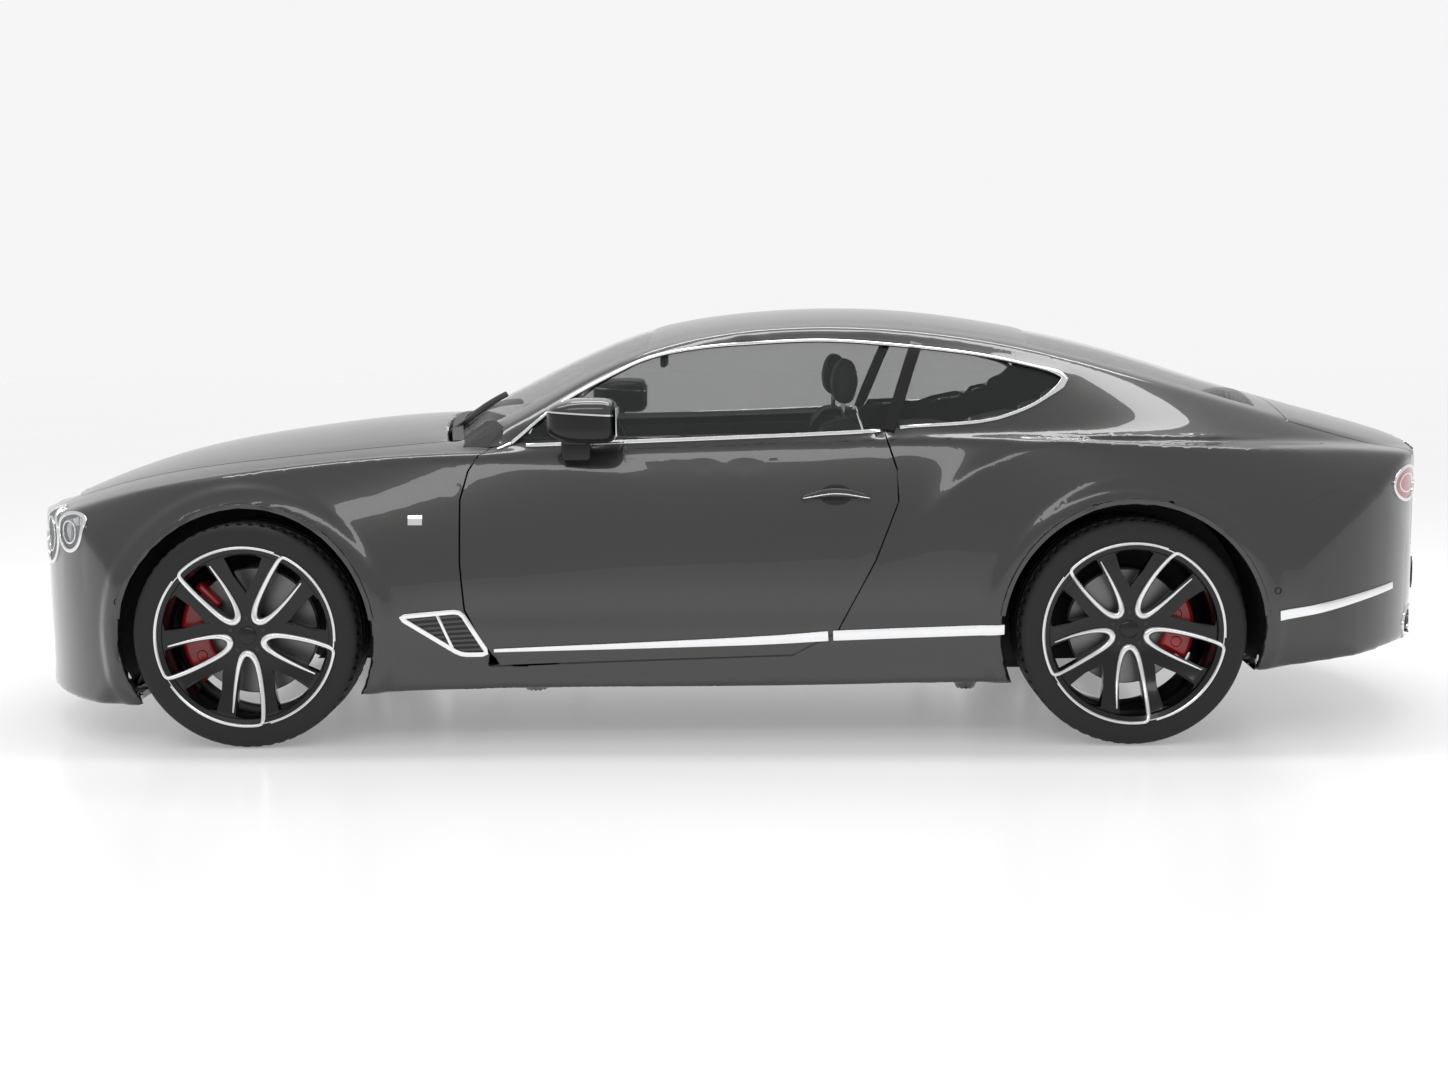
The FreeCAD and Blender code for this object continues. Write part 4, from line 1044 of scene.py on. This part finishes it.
def strip_pair(name, line, width, thick, material="chrome", body="body", **how):
    """A strip on the left, and its mirror image."""
    side_pair(name, trim_strip(name, line, width, thick, **how), material, body)


def widening(line, first, change):
    """A width for each point of a line, which grows evenly by change."""
    return [first + change * n / len(line) for n in range(len(line))]


def oval(a, b, half_a, half_b, count=40):
    return [(a + half_a * math.cos(math.tau * n / count), b + half_b * math.sin(math.tau * n / count))
            for n in range(count)]


def ring_pair(name, rings, material="chrome", look="side"):
    """Oval strips on the left, and their mirror image. Each ends with its width and thickness."""
    pieces = [trim_strip(name, oval(*shape), width, thick, closed=True, look=look)
              for *shape, width, thick in rings]
    side_pair(name, joined(name, pieces), material, "body")


def make_window_trim():
    """The bright line round the side windows, which widens at its rear corner, and the door's black post."""
    top = flowing(WINDOW_TOP[:-1] + WINDOW_TAIL)
    wide = [0.011 + 0.014 * math.exp(-(math.hypot(x - 1.110, z - 1.160) / 0.05) ** 2) for x, z in top]
    strip_pair("window_frame", top, wide, 0.004)
    strip_pair("window_foot", flowing([(-0.735, 0.957), (-0.690, 0.975)], 0.015), 0.010, 0.004)
    strip_pair("belt_strip", flowing(BELT), 0.013, 0.004, body="door_")
    strip_pair("window_post", flowing(POST), 0.040, 0.003, "gloss_black", lift=0.002)


def pane(name, x0, x1, lean0, lean1):
    """Side glass just under the form, from x0 to x1 along the belt, its ends leaning by lean0 and lean1."""
    def place(u, v):
        start, lean = x0 + (x1 - x0) * u, lean0 * (1.0 - u) ** 4 + lean1 * u ** 4
        low = window_foot(start) - 0.005
        x = start
        for _ in range(4):
            high = window_top(x) + 0.005
            x = start + lean * max(high - 1.012, 0.0)
        x = start + (x - start) * v
        hit, normal = on_skin(x, low + (high - low) * v)
        return hit - normal * 0.008

    glass = sheet(name, 48, 9, place)
    thickened(glass, 0.004)
    smooth(glass, 50.0)
    return glass


def make_side_glass():
    doors = pane("door_pane", -0.675, 0.512, 0.0, SLANT)
    rear = pane("quarter_pane", 0.548, 1.112, SLANT, 0.0)
    side_pair("door_pane", doors, "tinted_glass", "door_", "door_glass_")
    side_pair("quarter_pane", rear, "tinted_glass", "body")
    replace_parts(bpy.data.objects["quarter_pane_left"], "quarter_windows")
    corner = cowl_patch(0.001, 0.008)
    side_pair("cowl_corner", corner, "black_plastic", "body")


def make_small_trim():
    """The wing's bare badge and the parking sensors."""
    strip_pair("wing_badge", [(-1.014, 0.738), (-0.991, 0.738), (-0.968, 0.738)], 0.032, 0.002)
    ring_pair("parking_sensors", [(x, z, 0.010, 0.010, 16, 0.003, 0.001) for x, z in
                                  ((-1.954, 0.481), (1.755, 0.504))], "gloss_black")


def make_arch_lips():
    """The rolled edge of each wheel arch."""
    for end, radius in (("front", 0.418), ("rear", 0.424)):
        centre = HUBS[end]
        turns = [math.radians(8.0 + 164.0 * n / 60) for n in range(61)]
        arc = [(centre.x + radius * math.cos(a), centre.z + radius * math.sin(a)) for a in turns]
        strip_pair(end + "_arch_lip", arc, 0.016, 0.003, "body_paint")


def make_side_trim():
    door, tail = flowing(SILL_DOOR), flowing(TAIL_STRIP)
    strip_pair("sill_strip_door", door, widening(door, 0.012, 0.022), 0.006, body="door_")
    strip_pair("sill_strip_body", flowing(SILL_BODY), 0.034, 0.006)
    strip_pair("tail_strip", tail, widening(tail, 0.034, -0.012), 0.005)


def make_vent():
    """The outlet behind the front wheel: a bright rim with a bar across it, over dark slats."""
    corners = [Vector(p) for p in VENT]
    rim = []
    for n, corner in enumerate(corners):
        before, after = corners[n - 1], corners[(n + 1) % len(corners)]
        first = corner + (before - corner).normalized() * 0.020
        last = corner + (after - corner).normalized() * 0.020
        rim += [first, (first + last) / 4 + corner / 2, last]
    even = []
    for a, b in zip(rim, rim[1:] + rim[:1]):
        steps = max(1, round((b - a).length / 0.02))
        even += [a + (b - a) * k / steps for k in range(steps)]
    frame_piece = trim_strip("vent_rim", even, 0.016, 0.007, closed=True)
    middle = trim_strip("vent_bar", flowing([(-0.925, 0.440), (-0.872, 0.318)], 0.03), 0.010, 0.006)
    frame_piece = joined("vent_rim", [frame_piece, middle])
    side_pair("vent_rim", frame_piece, "chrome", "body")
    bars = []
    for k in range(9):
        share = (k + 0.5) / 9
        a, b = corners[0].lerp(corners[3], share), corners[1].lerp(corners[2], share)
        line = flowing([a.lerp(b, 0.03), b.lerp(a, 0.03)], 0.05)
        bars.append(trim_strip("vent_slat", line, 0.0075, 0.0015, 0.0004))
    side_pair("vent_slats", joined("vent_slats", bars), "black_plastic", "body")


def make_handle():
    """A bar across a black oval on the door, barely sunk, whose dark is painted shade for the hollow behind the
    bar.
    """
    # the oval lies almost on the skin: its black is painted shade of a hollow
    rim = [place + normal * 0.0012 for place, normal in
           [on_skin(x, z) for x, z in oval(0.355, 0.812, 0.052, 0.033, 28)]]
    shaded_cup = chain("handle_shade_cup", rim + rim[:1])
    with editing(shaded_cup):
        weld()
        bpy.ops.mesh.edge_face_add()
        bpy.ops.mesh.inset(thickness=0.008, depth=-0.0008)
        bpy.ops.mesh.inset(thickness=0.014, depth=-0.0002)
    smooth(shaded_cup, 60.0)
    outward = Vector((0.0, -1.0, 0.0))
    facing(shaded_cup, outward)
    side_pair("handle_shade_cup", shaded_cup, "black_plastic", "door_")
    line = flowing([(0.243, 0.800), (0.300, 0.812), (0.355, 0.816), (0.410, 0.812), (0.468, 0.800)], 0.012)
    upper, lower = [], []
    for n, (x, z) in enumerate(line):
        place, normal = on_skin(x, z)
        arch = math.sin(math.pi * (n + 0.5) / len(line))
        stand = place + normal * (0.004 + 0.030 * arch ** 0.6)
        half = Vector((0.0, 0.0, (0.010 + 0.016 * arch) / 2))
        upper.append(stand + half)
        lower.append(stand - half)
    grip = ribbon("handle", upper, lower, outward)
    thickened(grip, 0.011, -1.0)
    bevelled(grip, 0.004)
    smooth(grip, 50.0)
    side_pair("handle", grip, "body_paint", "door_")
    line = flowing([(0.250, 0.7985), (0.355, 0.8125), (0.461, 0.7985)], 0.02)
    strip_pair("handle_line", line, 0.003, 0.036, body="door_")


def rounded_head(name, low, high):
    """A closed shell with a blunt face and a rounded, narrower nose towards the front."""
    low, high, taper = Vector(low), Vector(high), 0.72
    bpy.ops.mesh.primitive_cube_add(size=1.0, location=(low + high) / 2)
    head = bpy.context.object
    head.name = name
    head.scale = high - low
    settle(head)
    middle = (low + high) / 2
    with editing(head):
        bpy.ops.mesh.subdivide(number_cuts=2)
        select(head, lambda face: face.normal.x < -0.9)
        bpy.ops.transform.resize(value=(1.0, taper, taper * 0.9), center_override=(low.x, middle.y, middle.z))
        select(head, lambda face: face.normal.y < -0.9)
        bpy.ops.transform.resize(value=(0.86, 1.0, 0.80),
                                 center_override=(middle.x + 0.01, low.y, middle.z + 0.008))
    modify(head, "SUBSURF", levels=3, render_levels=3)
    smooth(head, 180.0)
    return head


def make_mirrors():
    """A painted cap over a gloss black shell, a bright line between them, the glass behind, and the foot."""
    low, high = corner_box("mirror_left")
    shell_low = (low.x - 0.010, low.y - 0.004, 0.985)
    shell_high = (high.x + 0.012, -0.915, high.z + 0.004)
    head = rounded_head("mirror_cap", shell_low, shell_high)
    split = 1.052
    lower = copied(head, "mirror_shell")

    def split_off(height, upper):
        bpy.ops.mesh.bisect(plane_co=(0.0, 0.0, height), plane_no=(0.06, 0.0, 1.0), use_fill=True,
                            clear_inner=upper, clear_outer=not upper)

    for obj, upper in ((head, True), (lower, False)):
        with editing(obj):
            split_off(split, upper)
    line = copied(head, "mirror_line")
    with editing(line):
        split_off(split + 0.005, False)
        select_all()
        bpy.ops.transform.resize(value=(1.014, 1.014, 1.0),
                                 center_override=((low.x + high.x) / 2, -0.995, split))
    glass = block("mirror_glass", (high.x + 0.0125, low.y + 0.024, 1.004),
                  (high.x + 0.0155, -0.938, 1.104), 0.001, 2)
    middle = Vector((high.x, (low.y - 0.94) / 2, 1.054))
    with editing(glass):
        bpy.ops.transform.resize(value=(1.0, 1.0, 0.9), center_override=middle)
    foot = block("mirror_foot", (-0.520, -0.945, 0.925), (-0.425, -0.868, 0.995), 0.014, 4)
    arm = block("mirror_arm", (-0.515, -0.960, 0.975), (-0.430, -0.905, 1.010), 0.012, 4)
    foot = joined("mirror_foot", [foot, arm])
    for obj in (head, lower, line):
        smooth(obj, 40.0)
    smooth(foot)
    side_pair("mirror_cap", head, "body_paint", "door_")
    side_pair("mirror_shell", lower, "gloss_black", "door_", "mirror_")
    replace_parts(bpy.data.objects["mirror_shell_right"], "mirror_left")   # the table gives it both CAD mirrors
    side_pair("mirror_line", line, "chrome", "door_")
    side_pair("mirror_glass", glass, "chrome", "door_")
    side_pair("mirror_foot", foot, "gloss_black", "door_")


# ---------------------------------------------------------------- lamps and tail
def make_lamp_rings():
    ring_pair("headlamp_rings", [(-0.590, 0.665, 0.098, 0.095, 0.013, 0.006),
                                 (-0.590, 0.665, 0.0588, 0.057, 0.006, 0.003),
                                 (-0.765, 0.688, 0.063, 0.061, 0.013, 0.006),
                                 (-0.765, 0.688, 0.0378, 0.0366, 0.006, 0.003)], look="front")
    ring_pair("tail_lamp_rings", [(-0.668, 0.820, 0.097, 0.056, 0.011, 0.006),
                                  (-0.668, 0.820, 0.062, 0.030, 0.005, 0.003)], look="rear")


PIPE_Y, PIPE_Z = 0.560, 0.340


def make_tail():
    """The oval tail pipes with a black plug a little way into each, painted shade of the pipe's deep inside,
    their bright surrounds, and the number plate's blank.
    """
    def oval_slab(name, x, outline, length):
        return slab(name, [(x, y, z) for y, z in outline], (length, 0.0, 0.0))

    tips, bores = [], []
    for y in (-PIPE_Y, PIPE_Y):
        tip = oval_slab("tail_pipe", 2.155, oval(y, PIPE_Z, 0.091, 0.045, 48), 0.112)
        with editing(tip):
            select(tip, lambda face: face.normal.x > 0.9)
            bpy.ops.mesh.inset(thickness=0.007)
            extrude((-0.090, 0.0, 0.0))
        bevelled(tip, 0.002, degrees=50.0)
        smooth(tip, 40.0)
        tips.append(tip)
        # a black plug a little way into each pipe: painted shade of the pipe's deep inside
        bores.append(oval_slab("bore", 2.190, oval(y, PIPE_Z, 0.083, 0.037), 0.040))
    done(joined("tail_pipes", tips), "chrome", "body", "exhaust")
    # the black plugs are painted shade inside the pipes
    done(joined("pipe_bores", bores), "black_plastic", "body")
    outline = oval(-PIPE_Y, PIPE_Z, 0.102, 0.055, 64)
    strip_pair("pipe_surround", outline, 0.012, 0.005, closed=True, look="rear")

    def place(u, v):
        hit, normal = on_skin(-0.250 + 0.500 * u, 0.412 + 0.110 * v, "rear")
        return hit + normal * 0.003

    plate = sheet("plate_blank", 20, 5, place)
    thickened(plate, 0.008)
    bevelled(plate, 0.002, 2, 50.0)
    smooth(plate, 50.0)
    done(plate, "gloss_black", "body")


# ---------------------------------------------------------------- cabin
PRESSURE = 4.0
CLOTH_STEPS = 20
SEAT_HALF = 0.225            # half of a front seat's width


def stuffed(shape, voxel=0.0085, cap=0.022):
    """Blows a closed shape out like a stuffed cover, by no more than cap."""
    modify(shape, "REMESH", mode="VOXEL", voxel_size=voxel)
    before = [point.co.copy() for point in shape.data.vertices]
    take(shape)
    cloth = shape.modifiers.new("cover", "CLOTH")
    cloth.settings.use_pressure = True
    cloth.settings.uniform_pressure_force = PRESSURE
    cloth.settings.effector_weights.gravity = 0.0
    for step in range(CLOTH_STEPS):
        bpy.context.scene.frame_set(step + 1)
    bpy.ops.object.modifier_apply(modifier=cloth.name)
    bpy.context.scene.frame_set(1)
    for point, start in zip(shape.data.vertices, before):
        step = point.co - start
        if step.length > cap:
            point.co = start + step * (cap / step.length)
    modify(shape, "SMOOTH", factor=0.5, iterations=6)
    modify(shape, "SUBSURF", levels=1, render_levels=1)
    smooth(shape, 180.0)


def narrowed(shape, top, share, middle):
    """Draws a shape's upper part in towards its middle."""
    for point in shape.data.vertices:
        reach = ease(point.co.z, top - 0.45, top)
        point.co.y = middle + (point.co.y - middle) * (1.0 - (1.0 - share) * reach)


def bolstered(piece, middle, way):
    """Raises a seat's sides along way, and presses a seam in beside each."""
    normals = [point.normal.copy() for point in piece.data.vertices]
    for point, normal in zip(piece.data.vertices, normals):
        off = abs(point.co.y - middle)
        side = ease(off / SEAT_HALF, 0.40, 0.80)
        seam = math.exp(-((off - 0.120) / 0.007) ** 2)
        point.co += way * ((0.030 * side - 0.009 * seam) * ease(normal.dot(way), 0.1, 0.6))


def cushion(name, piece, node=None):
    """A left and a right cushion. The left one stands for the CAD node."""
    side_pair(name, piece, "dark_leather", "body")
    for side in SIDES:
        bpy.data.objects[name + "_" + side]
    if node:
        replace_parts(bpy.data.objects[name + "_left"], node)


def make_front_seats():
    middle = -0.400

    def across(name, outline, half, edge):
        piece = side_slab(name, outline, middle - half, middle + half)
        bevelled(piece, edge)
        return piece

    base = across("seat_base", [(-0.125, 0.445), (-0.120, 0.545), (-0.060, 0.575), (0.180, 0.540),
                                (0.300, 0.520), (0.310, 0.445)], SEAT_HALF, 0.030)
    back = across("seat_back", [(0.225, 0.505), (0.330, 0.480), (0.375, 0.560), (0.448, 0.850),
                                (0.455, 1.030), (0.395, 1.065), (0.350, 1.000), (0.305, 0.760)],
                  SEAT_HALF, 0.030)
    rest = across("seat_headrest", [(0.372, 1.085), (0.430, 1.080), (0.450, 1.160), (0.430, 1.236),
                                    (0.385, 1.232), (0.362, 1.150)], 0.115, 0.020)
    narrowed(back, 1.06, 0.78, middle)
    stuffed(base)
    stuffed(back)
    stuffed(rest, 0.0065, 0.012)
    bolstered(base, middle, Vector((0.0, 0.0, 1.0)))
    bolstered(back, middle, Vector((-1.0, 0.0, 0.0)))
    posts = [block("headrest_post", (0.398, y - 0.006, 1.020), (0.410, y + 0.006, 1.110), 0.004) for y in
             (middle - 0.055, middle + 0.055)]
    runners = block("seat_frame", (-0.110, middle - 0.205, 0.262), (0.290, middle + 0.205, 0.452), 0.018)
    cushion("seat_base", base, "front_seats")
    cushion("seat_back", back)
    cushion("seat_headrest", rest)
    side_pair("headrest_posts", joined("headrest_posts", posts), "chrome", "body")
    side_pair("seat_frame", runners, "black_plastic", "body")


def make_rear_seat():
    low, high = -0.535, -0.065
    base = side_slab("rear_base", [(0.650, 0.300), (0.640, 0.520), (0.700, 0.560), (0.980, 0.515),
                                   (1.000, 0.300)], low, high)
    back = side_slab("rear_back", [(0.905, 0.530), (1.040, 0.510), (1.120, 0.880), (1.105, 0.940),
                                   (1.050, 0.940), (1.010, 0.880)], low, high)
    for name, piece, node in (("rear_base", base, "rear_seat"), ("rear_back", back, None)):
        bevelled(piece, 0.030)
        stuffed(piece, 0.009)
        cushion(name, piece, node)


def make_cabin_trim():
    """Door cards with armrests, the inner mirror and the wipers."""
    outline = [(-0.690, 0.940), (-0.690, 0.400), (-0.640, 0.345), (0.170, 0.360), (0.300, 0.420),
               (0.430, 0.640), (0.480, 0.800), (0.470, 0.960)]
    card = side_slab("door_card", outline, -0.777, -0.768)
    bevelled(card, 0.004)
    rest = block("armrest", (-0.420, -0.772, 0.600), (0.220, -0.705, 0.655), 0.018, 4)
    pull = block("door_pull", (-0.300, -0.770, 0.740), (-0.120, -0.752, 0.760), 0.006)
    card = joined("door_card", [card, rest])
    smooth(card)
    side_pair("door_card", card, "cabin_trim", "door_")
    side_pair("door_pull", pull, "chrome", "door_")
    glass = block("inner_mirror", (-0.236, -0.115, 1.198), (-0.214, 0.115, 1.258), 0.010, 4)
    stalk = block("mirror_stalk", (-0.262, -0.012, 1.240), (-0.228, 0.012, 1.300), 0.006)
    done(joined("inner_mirror", [glass, stalk]), "black_plastic", "body")
    blades = []
    for start, end in (((-0.905, -0.520), (-0.800, 0.020)), ((-0.915, 0.020), (-0.800, 0.520))):
        line = flowing([start, ((start[0] + end[0]) / 2 - 0.010, (start[1] + end[1]) / 2), end], 0.05)
        blades.append(trim_strip("wiper", line, 0.014, 0.014, 0.004, look="top"))
    done(joined("wipers", blades), "black_plastic", "body")


make_materials()
dress_frame()
make_stage()
make_lights()
make_camera()
HUBS = {end: wheel_facts(end)[0] for end in ENDS}
make_wheels()
SKIN = make_body()
make_side_glass()
make_window_trim()
make_arch_lips()
make_small_trim()
make_side_trim()
make_vent()
make_handle()
make_mirrors()
make_lamp_rings()
make_tail()
make_front_seats()
make_rear_seat()
make_cabin_trim()
